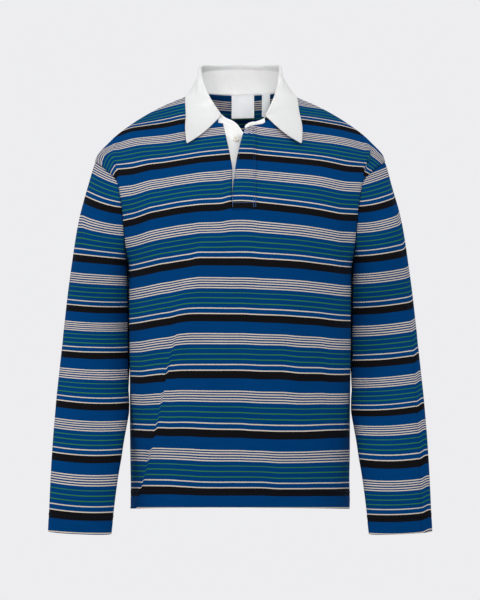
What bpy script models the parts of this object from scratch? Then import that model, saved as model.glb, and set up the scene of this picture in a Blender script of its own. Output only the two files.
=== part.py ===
"""Long-sleeved striped rugby shirt with a white collar, in its worn shape and hollow.

Metres, +Z up. The wearer faces -Y, so the wearer's left is +X. The origin is where the shirt is held
up: midway between the two shoulder points at the neck. Every panel is a thin wall on one smooth form,
whose horizontal sections are worked out from the table BODY.
"""

from math import pi

import bmesh
import bpy
import numpy as np
from mathutils import Vector

# Walls and clearances
JERSEY = 0.0012
TWILL = 0.0012
LABEL = 0.001
SEAM_GAP = 0.0003
ARMHOLE_GAP = 0.0007
UNDERARM_LIFT = 0.0013
UNDERARM_REACH = 0.060
SLEEVE_CLEARANCE = 0.0036
COLLAR_CLEARANCE = 0.0014

# Lengths of the panels
SHOULDER_TIP_Z = -0.109
UNDERARM_Z = -0.285
NECK_POINT_Z = 0.004
NECK_POINT_X = 0.073
NECK_FRONT_Z = -0.053
NECK_BACK_Z = 0.006
HEM_SIDE_Z = -0.680
HEM_FRONT_Z = -0.663
HEM_BACK_Z = -0.690
SIDE_LENGTH = 0.395
ARMHOLE_LENGTH = 0.275
SHOULDER_LENGTH = 0.205

# Placket: the window cut in the front, and the strips that fill it
WINDOW_LOW_Z = -0.189
WINDOW_LEFT_LOW = -0.0125
WINDOW_LEFT_TOP = -0.0275
WINDOW_RIGHT = 0.0240
WINDOW_SEWN = 0.061
WINDOW_SHARES = (-0.065, 0.155)
STRIP_RIGHT = 0.0275
STRIP_SEWN = 0.012
STRIP_OPEN_X = 0.0190
STRIP_END = 0.008
STRIP_LIFT = 0.012
UNDER_TUCK = 0.008
UNDER_DIP = 0.006
UNDER_NARROW = 0.0180

# Button, placed across the white strip
BUTTON_ACROSS = 0.62
BUTTON_Z = -0.078
BUTTON_RADIUS = 0.0050
BUTTON_THICKNESS = 0.0025
BUTTON_SEAT = 0.0014

# Collar
COLLAR_FOLD_RADIUS = 0.0022
COLLAR_SEAM_LIFT = 0.0012
LEAF_CROWN = 0.003
END_BOW = 0.0042
FOLD_SHIFT = 0.0050
EDGE_SHIFT = 0.0065

# Sleeves: how full their oval sections are, 2 for an ellipse
SLEEVE_FULLNESS = 2.35

# Grid counts
SIDE_ROWS = 8
ARMHOLE_ROWS = 10
SHOULDER_ROWS = 5
SLEEVE_ROWS = 18
COLLAR_COLUMNS = 28


def table(names, rows):
    """The rows as one array for each named column."""
    return dict(zip(names.split(), np.array(rows, float).T))


# Horizontal sections of the body: half width, depth in front of and behind the side seams, and how
# full the section is at its middle (crown) and at its sides (edge).
BODY = table(
    "height half_width front back crown edge",
    (
        (-0.700, 0.1800, 0.143, 0.120, 2.80, 2.80),
        (-0.560, 0.1800, 0.146, 0.121, 2.80, 2.80),
        (-0.400, 0.1805, 0.150, 0.121, 2.75, 2.75),
        (-0.285, 0.1830, 0.150, 0.122, 2.70, 2.60),
        (-0.239, 0.1985, 0.149, 0.123, 2.50, 2.40),
        (-0.193, 0.2150, 0.146, 0.121, 2.20, 2.10),
        (-0.145, 0.2370, 0.128, 0.116, 1.95, 1.70),
        (-0.109, 0.2390, 0.105, 0.110, 1.85, 1.45),
        (-0.074, 0.2125, 0.081, 0.102, 1.80, 1.30),
        (-0.048, 0.1795, 0.068, 0.095, 1.80, 1.25),
        (-0.0215, 0.1345, 0.061, 0.085, 1.85, 1.35),
        (-0.003, 0.0900, 0.056, 0.074, 1.95, 1.60),
        (0.004, 0.0730, 0.054, 0.067, 2.00, 1.70),
        (0.012, 0.0600, 0.052, 0.058, 2.00, 1.70),
    ),
)

# Armhole seam as it is seen from the front.
ARMHOLE = table(
    "height x",
    (
        (-0.285, 0.1830),
        (-0.262, 0.1845),
        (-0.238, 0.1860),
        (-0.215, 0.1877),
        (-0.186, 0.1908),
        (-0.160, 0.1950),
        (-0.145, 0.1990),
        (-0.125, 0.2185),
        (-0.109, 0.2390),
    ),
)

# Rings of the sleeve from the shoulder down to the cuff: each has an outer and an inner point, and
# how far it reaches forward and back.
SLEEVE = table(
    "outer_x outer_z inner_x inner_z front back",
    (
        (0.2620, -0.193, 0.180, -0.303, -0.075, 0.062),
        (0.2785, -0.285, 0.176, -0.348, -0.062, 0.071),
        (0.2865, -0.338, 0.174, -0.384, -0.045, 0.074),
        (0.2935, -0.417, 0.175, -0.440, -0.056, 0.048),
        (0.2980, -0.494, 0.1785, -0.506, -0.087, -0.001),
        (0.3010, -0.569, 0.1886, -0.575, -0.114, -0.046),
        (0.3030, -0.644, 0.1983, -0.648, -0.131, -0.076),
        (0.3050, -0.7045, 0.2050, -0.709, -0.132, -0.085),
    ),
)

# Stations of the collar from the centre back to the front end: place along the neckline (0 centre
# back, 1 shoulder, 2 centre front), the fold on top and the free edge of the leaf.
COLLAR = table(
    "neck fold_x fold_y fold_z edge_x edge_y edge_z",
    (
        (0.00, 0.0000, 0.0700, 0.0578, 0.0000, 0.0980, 0.0040),
        (0.30, 0.0270, 0.0660, 0.0565, 0.0370, 0.0930, 0.0040),
        (0.62, 0.0520, 0.0460, 0.0540, 0.0690, 0.0680, 0.0030),
        (0.86, 0.0640, 0.0200, 0.0510, 0.0862, 0.0300, 0.0010),
        (1.00, 0.0662, -0.0020, 0.0445, 0.0897, -0.0010, -0.0010),
        (1.18, 0.0632, -0.0200, 0.0200, 0.0893, -0.0300, -0.0180),
        (1.36, 0.0553, -0.0400, -0.0040, 0.0921, -0.0500, -0.0380),
        (1.52, 0.0455, -0.0560, -0.0240, 0.0945, -0.0670, -0.0610),
        (1.64, 0.0362, -0.0655, -0.0395, 0.0925, -0.0830, -0.0871),
    ),
)

# Neck edges of the two placket strips, and the short end of the neck band that lies on the striped
# one. across runs from 0 to 1 over each strip, and past 1 beside it.
STRIP_TOP = table(
    "across height",
    (
        (0.00, -0.0665),
        (0.15, -0.0622),
        (0.32, -0.0590),
        (0.60, -0.0565),
        (1.00, -0.0545),
    ),
)
UNDER_TOP = table(
    "across height",
    (
        (0.00, -0.0335),
        (0.10, -0.0362),
        (0.29, -0.0425),
        (0.57, -0.0472),
        (0.76, -0.0529),
        (0.89, -0.0606),
        (1.00, -0.0666),
    ),
)
BAND = table(
    "across low top",
    (
        (0.20, -0.0604, -0.0578),
        (0.51, -0.0577, -0.0502),
        (0.81, -0.0565, -0.0478),
        (1.10, -0.0550, -0.0457),
        (1.45, -0.0518, -0.0434),
    ),
)


def curve(at, knots, values):
    """A smooth curve through (knots, values) that never overshoots: cubic pieces, each knot's slope
    the harmonic mean of the slopes on its two sides."""
    at = np.clip(at, knots[0], knots[-1])
    step = np.diff(knots)
    slope = np.diff(values) / step
    rising = slope[:-1] * slope[1:] > 0
    total = np.where(rising, slope[:-1] + slope[1:], 1.0)
    middle = np.where(rising, 2 * slope[:-1] * slope[1:] / total, 0.0)
    tangent = np.concatenate([slope[:1], middle, slope[-1:]])
    i = np.clip(np.searchsorted(knots, at, side="right") - 1, 0, len(step) - 1)
    t = (at - knots[i]) / step[i]
    start = values[i] * (1 + 2 * t) * (1 - t) ** 2 + tangent[i] * step[i] * t * (1 - t) ** 2
    end = values[i + 1] * t**2 * (3 - 2 * t) + tangent[i + 1] * step[i] * t**2 * (t - 1)
    return start + end


def ease(t):
    """0 to 1 with a level start and end."""
    t = np.clip(t, 0, 1)
    return t * t * (3 - 2 * t)


def body_value(name, z):
    return curve(z, BODY["height"], BODY[name])


def around_of(x, z):
    """How far round the section, 0 at its middle and 1 at its side, the point at width x lies."""
    share = np.clip(np.abs(x) / body_value("half_width", z), 0, 1)
    return np.sign(x) * np.arcsin(share ** (body_value("crown", z) / 2)) / (pi / 2)


def body_point(around, z, side):
    """A point of the body's form: x = half_width * sin(a)^(2/crown), y = depth * cos(a)^(2/edge),
    with a = around * 90 degrees. side is "front" or "back"."""
    around, z = np.broadcast_arrays(around, z)
    angle = np.abs(around) * pi / 2
    x = np.sign(around) * body_value("half_width", z) * np.sin(angle) ** (2 / body_value("crown", z))
    y = body_value(side, z) * np.clip(np.cos(angle), 0, 1) ** (2 / body_value("edge", z))
    return np.stack([x, -y if side == "front" else y, z], -1)


def armhole(side):
    """(around, height) of the armhole seam, evenly spaced from the underarm to the shoulder tip."""
    z = np.linspace(UNDERARM_Z, SHOULDER_TIP_Z, 400)
    around = around_of(curve(z, ARMHOLE["height"], ARMHOLE["x"]), z)
    points = body_point(around, z, side)
    length = np.concatenate([[0], np.cumsum(np.linalg.norm(np.diff(points, axis=0), axis=1))])
    even = np.linspace(0, length[-1], ARMHOLE_ROWS + 1)
    return np.interp(even, length, around), np.interp(even, length, z)


def side_line(side):
    """(share of the height, around, height) of a panel's side edge: side seam, armhole, shoulder."""
    seam_z = np.linspace(0, 1, SIDE_ROWS + 1)[:-1]
    seam_z = HEM_SIDE_Z + (UNDERARM_Z - HEM_SIDE_Z) * seam_z
    hole_around, hole_z = armhole(side)
    shoulder = np.linspace(0, 1, SHOULDER_ROWS + 1)[1:]
    shoulder_x = body_value("half_width", np.array(SHOULDER_TIP_Z))
    shoulder_x = shoulder_x + (NECK_POINT_X - shoulder_x) * shoulder
    heights = np.linspace(SHOULDER_TIP_Z, NECK_POINT_Z, 200)
    shoulder_z = np.interp(-shoulder_x, -body_value("half_width", heights), heights)
    z = np.concatenate([seam_z, hole_z, shoulder_z])
    around = np.concatenate([np.ones(SIDE_ROWS), hole_around, np.ones(SHOULDER_ROWS)])
    parts = [np.linspace(0, SIDE_LENGTH, SIDE_ROWS + 1)[:-1]]
    parts.append(SIDE_LENGTH + np.linspace(0, ARMHOLE_LENGTH, ARMHOLE_ROWS + 1))
    parts.append(SIDE_LENGTH + ARMHOLE_LENGTH + SHOULDER_LENGTH * shoulder)
    whole = SIDE_LENGTH + ARMHOLE_LENGTH + SHOULDER_LENGTH
    return np.concatenate(parts) / whole, around, z


def neckline(across, side):
    """(around, height) of the neck seam, across from -1 to 1. In front it is half an ellipse hung
    from the two neck points, behind it is nearly level."""
    angle = across * pi / 2
    if side == "front":
        z = NECK_FRONT_Z + (NECK_POINT_Z - NECK_FRONT_Z) * (1 - np.cos(angle))
        return around_of(NECK_POINT_X * np.sin(angle), z), z
    return across, NECK_BACK_Z + (NECK_POINT_Z - NECK_BACK_Z) * across**4


def window_edges(z):
    """The two upright edges of the placket window at height z: the left one leans open."""
    low = WINDOW_LOW_Z + WINDOW_SEWN
    open_share = np.clip((z - low) / (NECK_FRONT_Z - low), 0, 1) ** 1.15
    left = WINDOW_LEFT_LOW + (WINDOW_LEFT_TOP - WINDOW_LEFT_LOW) * open_share
    return left, np.full_like(z, WINDOW_RIGHT)


def panel(side, across, centre_z, hem_z):
    """Grid of (around, height) for a panel: the hem below, the neckline on top, and side_line at both
    sides. Rows sag from the side's height to centre_z, more like the neckline as they near it."""
    share, edge_around, edge_z = side_line(side)
    u, v = np.meshgrid(across, share)
    top_around, top_z = neckline(across, side)
    near_top = ease((v - 0.5) / 0.5)
    around = u * edge_around[:, None]
    around = around + (top_around - across) * near_top
    sag = (top_z - top_z[len(across) // 2]) / (NECK_POINT_Z - top_z[len(across) // 2])
    rise = (1 - near_top) * u**2 + near_top * sag
    middle_z = curve(v, centre_z["share"], centre_z["height"])
    middle_z = np.where(v == 0, hem_z, middle_z)
    return around, middle_z + (edge_z[:, None] - middle_z) * rise


FRONT_MIDDLE = table(
    "share height",
    (
        (0.000, HEM_FRONT_Z),
        (0.452, -0.279),
        (0.600, WINDOW_LOW_Z),
        (0.766, -0.116),
        (1.000, NECK_FRONT_Z),
    ),
)
BACK_MIDDLE = table(
    "share height",
    (
        (0.000, HEM_BACK_Z),
        (0.452, -0.285),
        (0.766, -0.095),
        (1.000, NECK_BACK_Z),
    ),
)


def lay(points, axis, value, keep_below):
    """Keeps a panel's edge on its own side of a seam plane."""
    limit = np.minimum if keep_below else np.maximum
    points[..., axis] = limit(points[..., axis], value)
    return points


def new_material(name, colour, roughness, sheen=0.0):
    material = bpy.data.materials.new(name)
    material.use_nodes = True
    shader = material.node_tree.nodes["Principled BSDF"]
    shader.inputs["Base Color"].default_value = (*colour, 1)
    shader.inputs["Roughness"].default_value = roughness
    shader.inputs["Metallic"].default_value = 0.0
    shader.inputs["Sheen Weight"].default_value = sheen
    material.diffuse_color = (*colour, 1)
    return material


def cloth(name, points, thickness, material, outward=1.0, hole=None, tube=False):
    """A wall of cloth: a grid whose vertices take the given points, row by row, with Solidify. hole
    is a mask of the cells to leave out. A tube's first and last columns are one."""
    rows, columns = points.shape[:2]
    mesh = bpy.data.meshes.new(name)
    sheet = bmesh.new()
    bmesh.ops.create_grid(sheet, x_segments=columns - 1, y_segments=rows - 1, size=1)
    sheet.verts.ensure_lookup_table()
    order = sorted(sheet.verts, key=lambda vertex: (round(vertex.co.y, 5), round(vertex.co.x, 5)))
    cells = {}
    for face in sheet.faces:
        corner = face.calc_center_median()
        row = int((corner.y + 1) / 2 * (rows - 1))
        cells[row, int((corner.x + 1) / 2 * (columns - 1))] = face
    for vertex, place in zip(order, points.reshape(-1, 3)):
        vertex.co = place
    if hole is not None:
        unwanted = [cells[tuple(cell)] for cell in np.argwhere(hole)]
        bmesh.ops.delete(sheet, geom=unwanted, context="FACES")
    if tube:
        bmesh.ops.remove_doubles(sheet, verts=sheet.verts, dist=1e-6)
    sheet.to_mesh(mesh)
    sheet.free()
    mesh.shade_smooth()
    mesh.materials.append(material)
    piece = bpy.data.objects.new(name, mesh)
    shirt.objects.link(piece)
    wall = piece.modifiers.new("Wall", "SOLIDIFY")
    wall.thickness = thickness
    wall.offset = outward
    return piece


def front_panel(material):
    """The front, with the placket window cut out above WINDOW_LOW_Z."""
    window_left, window_right = WINDOW_SHARES
    left = np.linspace(-1, window_left, 11)
    right = np.linspace(window_right, 1, 10)
    across = np.concatenate([left, [0.0, 0.08], right])
    around, z = panel("front", across, FRONT_MIDDLE, HEM_FRONT_Z)
    edge_left, edge_right = window_edges(z)
    columns = [int(np.argmin(abs(across - share))) for share in WINDOW_SHARES]
    wanted = [around_of(edge[:, c], z[:, c]) for edge, c in zip((edge_left, edge_right), columns)]
    shift = np.stack([want - around[:, c] for want, c in zip(wanted, columns)], 1)
    for row, (a, b) in enumerate(shift):
        around[row] += np.interp(across, [-1, window_left, window_right, 1], [0, a, b, 0])
    points = lay(body_point(around, z, "front"), 1, -SEAM_GAP / 2, True)
    low_row = int(np.argmin(abs(z[:, columns[0]] - WINDOW_LOW_Z)))
    hole = np.zeros((len(z) - 1, len(across) - 1), bool)
    hole[low_row:, columns[0] : columns[1]] = True
    return cloth("front_panel", points, JERSEY, material, hole=hole)


def back_panel(material):
    across = np.linspace(1, -1, 23)
    around, z = panel("back", across, BACK_MIDDLE, HEM_BACK_Z)
    points = lay(body_point(around, z, "back"), 1, SEAM_GAP / 2, False)
    return cloth("back_panel", points, JERSEY, material)


def body_side(y, z):
    """Half width of the body's form at depth y and height z."""
    depth = np.where(y < 0, body_value("front", z), body_value("back", z))
    share = np.clip(np.abs(y) / depth, 0, 1)
    edge, crown = body_value("edge", z), body_value("crown", z)
    return body_value("half_width", z) * (1 - share**edge) ** (1 / crown)


def off_the_body(points, clearance):
    """Points nearer to the body's form than clearance, moved straight out of it. The form is where
    f = (|x|/half_width)^crown + (|y|/depth)^edge - 1 is 0, and f over its slope is the distance."""

    def form(place):
        x, y, z = np.moveaxis(place, -1, 0)
        depth = np.where(y < 0, body_value("front", z), body_value("back", z))
        wide = (np.abs(x) / body_value("half_width", z)) ** body_value("crown", z)
        return wide + (np.abs(y) / depth) ** body_value("edge", z) - 1

    step = 1e-4
    for _ in range(4):
        here = form(points)
        slope = np.stack([(form(points + step * axis) - here) / step for axis in np.eye(3)], -1)
        steep = np.linalg.norm(slope, axis=-1, keepdims=True)
        short = np.maximum(clearance - here[..., None] / steep, 0)
        points = points + short * slope / steep
    return points


def sleeve_rings():
    """Rings of the sleeve on +X, as an array (ring, point, xyz). Each runs from the shoulder tip
    forward to the underarm and back up behind. The first is the armhole, and the others are
    superellipses. What would lie in the body's side is pressed out of it."""
    front = np.flip(body_point(*armhole("front"), "front"), 0)
    back = body_point(*armhole("back"), "back")
    first = np.concatenate([front, back[1:]])
    turn = np.linspace(0, 2 * pi, len(first))
    cosine, sine = np.cos(turn), np.sin(turn)
    along = np.sign(cosine) * np.abs(cosine) ** (2 / SLEEVE_FULLNESS)
    across = np.sign(sine) * np.abs(sine) ** (2 / SLEEVE_FULLNESS)
    rings = [first]
    for k in range(len(SLEEVE["outer_x"])):
        row = {name: column[k] for name, column in SLEEVE.items()}
        x = (row["outer_x"] + row["inner_x"]) / 2 + (row["outer_x"] - row["inner_x"]) / 2 * along
        z = (row["outer_z"] + row["inner_z"]) / 2 + (row["outer_z"] - row["inner_z"]) / 2 * along
        y = (row["front"] + row["back"]) / 2 + (row["front"] - row["back"]) / 2 * across
        rings.append(np.stack([x, y, z], -1))
    return np.array(rings)


def sleeve_surface(rings, shares):
    """The rings joined smoothly down the sleeve, at the given shares of its length."""
    steps = np.linalg.norm(np.diff(rings, axis=0), axis=2).mean(1)
    knots = np.concatenate([[0], np.cumsum(steps)]) / steps.sum()
    columns = []
    for line in np.moveaxis(rings, 1, 0):
        columns.append([curve(shares, knots, line[:, axis]) for axis in range(3)])
    points = np.moveaxis(np.array(columns), 2, 0)
    level = np.minimum(points[1:, :, 2], UNDERARM_Z)
    clear = body_side(points[1:, :, 1], level) + SLEEVE_CLEARANCE
    points[1:, :, 0] = np.maximum(points[1:, :, 0], clear)
    return points


def sleeve(name, sign, material):
    rings = sleeve_rings()
    lift = UNDERARM_LIFT * ease((UNDERARM_Z + UNDERARM_REACH - rings[0][:, 2:]) / UNDERARM_REACH)
    rings[0] += ARMHOLE_GAP * unit(rings[1] - rings[0])
    rings[0] = off_the_body(rings[0], JERSEY + ARMHOLE_GAP + lift)
    shares = np.linspace(0, 1, SLEEVE_ROWS + 1)
    points = sleeve_surface(rings, shares) * np.array([sign, 1, 1])
    points[:, -1] = points[:, 0]
    if sign > 0:
        points = points[:, ::-1]
    return cloth(name, points, JERSEY, material, outward=-1.0, tube=True)


def unit(vectors):
    return vectors / np.linalg.norm(vectors, axis=-1, keepdims=True)


def front_surface(x, z, lift):
    """Points on the front's form at width x and height z, moved out of it by lift."""
    step = 0.001
    here = body_point(around_of(x, z), z, "front")
    aside = body_point(around_of(x + step, z), z, "front")
    above = body_point(around_of(x, z + step), z + step, "front")
    return here + unit(np.cross(aside - here, above - here)) * np.asarray(lift)[..., None]


def upper_strip(a, z, above=0.0):
    """The striped strip's form, a from its free edge (0) to its seam (1): flat on the front at the
    bottom, its free edge lifted and drawn over towards the top. above moves points out of it."""
    low = WINDOW_LOW_Z + STRIP_SEWN
    opened = np.clip((z - low) / (STRIP_TOP["height"][0] - low), 0, 1)
    free_x = WINDOW_LEFT_LOW + STRIP_OPEN_X * opened**1.7
    roll = np.sin(pi / 2 * np.clip(1 - a, 0, 1)) ** 1.4
    lift = JERSEY + 2 * SEAM_GAP + STRIP_LIFT * ease(opened) * roll
    return front_surface(free_x + (STRIP_RIGHT - free_x) * a, z, lift + above)


def placket_upper(material):
    a, b = np.meshgrid(np.linspace(0, 1, 6), np.linspace(0, 1, 12))
    low = WINDOW_LOW_Z - STRIP_END
    top = curve(a, STRIP_TOP["across"], STRIP_TOP["height"])
    return cloth("placket_upper", upper_strip(a, low + (top - low) * b), JERSEY, material)


def under_strip(a, z, above=0.0):
    """The white strip's form, a from its seam on the left (0) to its free edge (1): just behind the
    front, its free edge dipping inside and drawn back towards the top."""
    opened = ease((z - WINDOW_LOW_Z) / (NECK_FRONT_Z - WINDOW_LOW_Z))
    left, right = window_edges(z)
    left = left - UNDER_TUCK
    right = right - UNDER_NARROW * opened
    dip = UNDER_DIP * opened * np.clip(a, 0, 1) ** 1.5
    return front_surface(left + (right - left) * a, z, above - TWILL - 3 * SEAM_GAP - dip)


def placket_under(material):
    a, b = np.meshgrid(np.linspace(0, 1, 8), np.linspace(0, 1, 11))
    low = WINDOW_LOW_Z - STRIP_END
    top = curve(a, UNDER_TOP["across"], UNDER_TOP["height"])
    return cloth("placket_under", under_strip(a, low + (top - low) * b), TWILL, material)


def neck_band(material):
    """The end of the neck band, laid over the striped strip's neck edge."""
    a, b = np.meshgrid(np.linspace(BAND["across"][0], BAND["across"][-1], 8), np.linspace(0, 1, 3))
    low, top = (curve(a, BAND["across"], BAND[name]) for name in ("low", "top"))
    points = upper_strip(a, low + (top - low) * b, JERSEY + 3 * SEAM_GAP)
    return cloth("neck_band", points, TWILL, material)


def collar_loops(count):
    """The neck seam, the fold and the leaf's free edge, from the wearer's right front end round the
    back to the left one."""
    stations = np.linspace(0, 1, len(COLLAR["neck"]))
    way = np.linspace(-1, 1, count)
    at = np.abs(way)
    side = np.sign(way)
    neck = curve(at, stations, COLLAR["neck"])
    behind = body_point(*neckline(np.clip(neck, 0, 1), "back"), "back")
    ahead = body_point(*neckline(np.clip(2 - neck, 0, 1), "front"), "front")
    seam = np.where((neck < 1)[:, None], behind, ahead)
    loops = [seam]
    for loop in ("fold", "edge"):
        loops.append(np.stack([curve(at, stations, COLLAR[f"{loop}_{axis}"]) for axis in "xyz"], -1))
    for points in loops:
        points[:, 0] = points[:, 0] * side
    loops[1][:, 0] += FOLD_SHIFT * ease((at - 0.5) / 0.5)
    loops[2][:, 0] += EDGE_SHIFT * ease((at - 0.3) / 0.7)
    return loops, way


def collar(material):
    """One folded strip: up from the neck seam, over a small round fold, and down to the free edge. The
    two front ends of the leaf bow outwards."""
    (seam, fold, edge), way = collar_loops(COLLAR_COLUMNS + 1)
    along = np.gradient(fold, axis=0)
    out = unit(np.stack([along[:, 1], -along[:, 0], np.zeros(len(fold))], -1))
    up = np.array([0, 0, 1.0])
    seam = seam + up * COLLAR_SEAM_LIFT
    stand = fold - seam - out * COLLAR_FOLD_RADIUS
    rows = [seam + stand * share for share in (0, 0.35, 0.7, 0.95)]
    for angle in (150, 90, 30):
        bend = np.radians(angle)
        rows.append(fold + COLLAR_FOLD_RADIUS * (out * np.cos(bend) + up * np.sin(bend)))
    start = fold + out * COLLAR_FOLD_RADIUS
    near_end = (ease((np.abs(way) - 0.8) / 0.2) * np.sign(way))[:, None]
    for share in np.linspace(0, 1, 7)[1:]:
        leaf = start + (edge - start) * share
        bow = END_BOW * np.sin(pi * share**1.3) * near_end * unit(np.gradient(leaf, axis=0))
        leaf = leaf + bow + unit(out + up) * LEAF_CROWN * np.sin(pi * share)
        rows.append(off_the_body(leaf, JERSEY + COLLAR_CLEARANCE))
    return cloth("collar", np.array(rows), TWILL, material)


def label(name, x, width, top, bottom, material):
    """A flat woven label hung from the back neck seam, inside the back."""
    a, b = np.meshgrid(np.linspace(-0.5, 0.5, 3), np.linspace(0, 1, 4))
    y = bottom[0] + (top[0] - bottom[0]) * b
    z = bottom[1] + (top[1] - bottom[1]) * b
    return cloth(name, np.stack([x + width * a, y, z], -1), LABEL, material)


def button(material):
    """A small flat button on the under placket."""
    across, z = np.array(BUTTON_ACROSS), np.array(BUTTON_Z)
    place = under_strip(across, z)
    facing = unit(under_strip(across, z, 0.001) - place)
    middle = place + facing * (TWILL + BUTTON_SEAT + BUTTON_THICKNESS / 2)
    bpy.ops.mesh.primitive_cylinder_add(
        vertices=20, radius=BUTTON_RADIUS, depth=BUTTON_THICKNESS, location=middle
    )
    piece = bpy.context.object
    piece.name = "button"
    piece.rotation_mode = "QUATERNION"
    piece.rotation_quaternion = Vector(facing).to_track_quat("Z", "Y")
    piece.data.materials.append(material)
    for collection in list(piece.users_collection):
        collection.objects.unlink(piece)
    shirt.objects.link(piece)
    return piece


for old in list(bpy.data.objects):
    bpy.data.objects.remove(old)
shirt = bpy.data.collections.new("rugby_shirt")
bpy.context.scene.collection.children.link(shirt)

jersey = new_material("striped_jersey", (0.004, 0.045, 0.19), 0.85, 0.2)
twill = new_material("white_twill", (0.84, 0.84, 0.82), 0.8, 0.1)
woven = new_material("woven_label", (0.86, 0.87, 0.92), 0.6)
plastic = new_material("button_white", (0.85, 0.84, 0.82), 0.35)

front_panel(jersey)
back_panel(jersey)
sleeve("sleeve_right", -1, jersey)
sleeve("sleeve_left", 1, jersey)
placket_upper(jersey)
placket_under(twill)
neck_band(twill)
collar(twill)
label("label_main", 0.004, 0.038, (0.0583, 0.0068), (0.0658, -0.0312), woven)
label("label_care", 0.0432, 0.014, (0.0395, 0.0068), (0.0514, -0.0300), woven)
button(plastic)
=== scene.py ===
# %% [markdown]
# # A striped rugby shirt, filled out and hollow
#
# A rugby shirt is cut from heavy knitted jersey: a front, a back, two sleeves, and a white twill
# collar with a half-open button placket. Here it keeps the shape of a wearer who isn't there.
#
# The lesson builds every panel as a surface worked out with numpy: a function of two numbers, one
# round the body and one up it, evaluated on a whole grid at once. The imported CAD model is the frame:
# it says where each panel is, and each new piece stands in for one of its nodes.

from math import pi

import bmesh
import bpy
import numpy as np
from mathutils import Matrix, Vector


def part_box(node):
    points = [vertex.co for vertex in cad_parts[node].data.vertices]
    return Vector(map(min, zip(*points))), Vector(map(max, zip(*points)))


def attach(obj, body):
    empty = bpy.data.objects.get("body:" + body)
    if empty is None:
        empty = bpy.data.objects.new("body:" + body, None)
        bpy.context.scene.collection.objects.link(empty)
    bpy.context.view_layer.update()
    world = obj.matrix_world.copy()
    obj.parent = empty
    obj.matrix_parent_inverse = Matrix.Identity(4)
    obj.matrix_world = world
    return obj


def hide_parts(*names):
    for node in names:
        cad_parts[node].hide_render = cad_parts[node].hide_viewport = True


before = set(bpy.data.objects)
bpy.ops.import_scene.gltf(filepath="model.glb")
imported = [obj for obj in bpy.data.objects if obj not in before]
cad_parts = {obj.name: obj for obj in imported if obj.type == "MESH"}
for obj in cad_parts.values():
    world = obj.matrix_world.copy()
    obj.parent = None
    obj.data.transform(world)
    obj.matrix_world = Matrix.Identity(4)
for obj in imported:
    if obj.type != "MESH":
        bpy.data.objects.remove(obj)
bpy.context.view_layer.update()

# %% [markdown]
# ## Camera and light
#
# Clothes are pictured from a few metres away with a long lens, so that the near parts don't swell. A
# camera three metres off, level with the middle of the shirt, does that.

# %% Camera
CAMERA_X, CAMERA_Z = -0.0002, -0.33725
CAMERA_DISTANCE = 3.0
FRAME_HEIGHT = 0.990
SENSOR_MM = 36.0

camera = bpy.data.objects.new("camera", bpy.data.cameras.new("camera"))
camera.data.sensor_width = SENSOR_MM
camera.data.lens = SENSOR_MM * CAMERA_DISTANCE / FRAME_HEIGHT
camera.location = (CAMERA_X, -CAMERA_DISTANCE, CAMERA_Z)
camera.rotation_euler = (pi / 2, 0, 0)
bpy.context.scene.collection.objects.link(camera)
bpy.context.scene.camera = camera
print("lens, mm:", round(camera.data.lens, 1))

# %% [markdown]
# The light is a pale dome all round, which leaves only soft shade in the folds. A large lamp on the
# left and two smaller ones above give the cloth its form, one stands behind, and two narrow beams reach
# in through the neck and onto the placket. The camera sees the dome as a plain pale wall.

# %% Light
WALL_COLOUR = (0.847, 0.847, 0.863)
DOME_COLOUR = (0.97, 0.985, 1.0)
DOME_STRENGTH = 0.61


def fill(tree, made, sockets):
    """Gives each named or numbered socket of a node its constant, or another node's output."""
    for name, value in sockets.items():
        if isinstance(value, bpy.types.NodeSocket):
            tree.links.new(value, made.inputs[name])
        else:
            made.inputs[name].default_value = value


def node(tree, kind, sockets=(), **settings):
    """The first output of a new shader node with these properties and sockets."""
    made = tree.nodes.new(kind)
    for name, value in settings.items():
        setattr(made, name, value)
    fill(tree, made, dict(sockets))
    return made.outputs[0] if made.outputs else None


def build_world():
    """The dome's light, with a plain wall for what the camera sees straight on."""
    world = bpy.data.worlds.new("studio")
    world.use_nodes = True
    tree = world.node_tree
    tree.nodes.clear()
    wall = node(tree, "ShaderNodeBackground", {"Color": (*WALL_COLOUR, 1)})
    dome = node(tree, "ShaderNodeBackground", {"Color": (*DOME_COLOUR, 1), "Strength": DOME_STRENGTH})
    straight_on = node(tree, "ShaderNodeLightPath")
    mix = node(tree, "ShaderNodeMixShader", {0: straight_on, 1: dome, 2: wall})
    node(tree, "ShaderNodeOutputWorld", {"Surface": mix})
    bpy.context.scene.world = world


def lamp(name, place, aim, size, power, spread=180):
    """A square area light at place that faces the point aim. Power is in watts and spread in
    degrees."""
    data = bpy.data.lights.new(name + "_lamp", "AREA")
    data.size = size
    data.spread = np.radians(spread)
    data.energy = power
    light = bpy.data.objects.new(data.name, data)
    light.location = place
    light.visible_camera = False
    bpy.context.scene.collection.objects.link(light)
    east, north, up = np.array(aim, float) - np.array(place, float)
    light.rotation_euler = (pi / 2 + np.arctan2(up, np.hypot(east, north)), 0, np.arctan2(-east, north))


build_world()
lamp("key", (-1.7, -0.9, 0.1), (0, -0.05, -0.35), 1.0, 7.5)
lamp("high", (0.8, -1.3, 0.9), (0, -0.05, -0.3), 0.8, 4.0)
lamp("top", (0, -1.0, 0.75), (0, -0.1, -0.05), 0.6, 3.4)
lamp("neck", (0, -1.2, 0.35), (0.004, 0.06, 0.0), 0.12, 0.023, 8)
lamp("placket", (0, -1.2, 0.2), (0.0005, -0.05, -0.062), 0.05, 0.0027, 5)
lamp("back", (0.6, 2.2, 1.0), (0, 0, -0.3), 1.6, 12)
bpy.context.scene.view_settings.view_transform = "Standard"
bpy.context.scene.view_settings.look = "None"

# %% [markdown]
# ## Small tools
#
# A pattern cutter writes a garment down as a few measurements and joins them with a smooth curve.
# `table` holds such measurements under named columns, and `curve` joins them. Bezier curves would do
# too, but a curve that is solved from its own points never swings past them.

# %% Tables and curves


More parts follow.
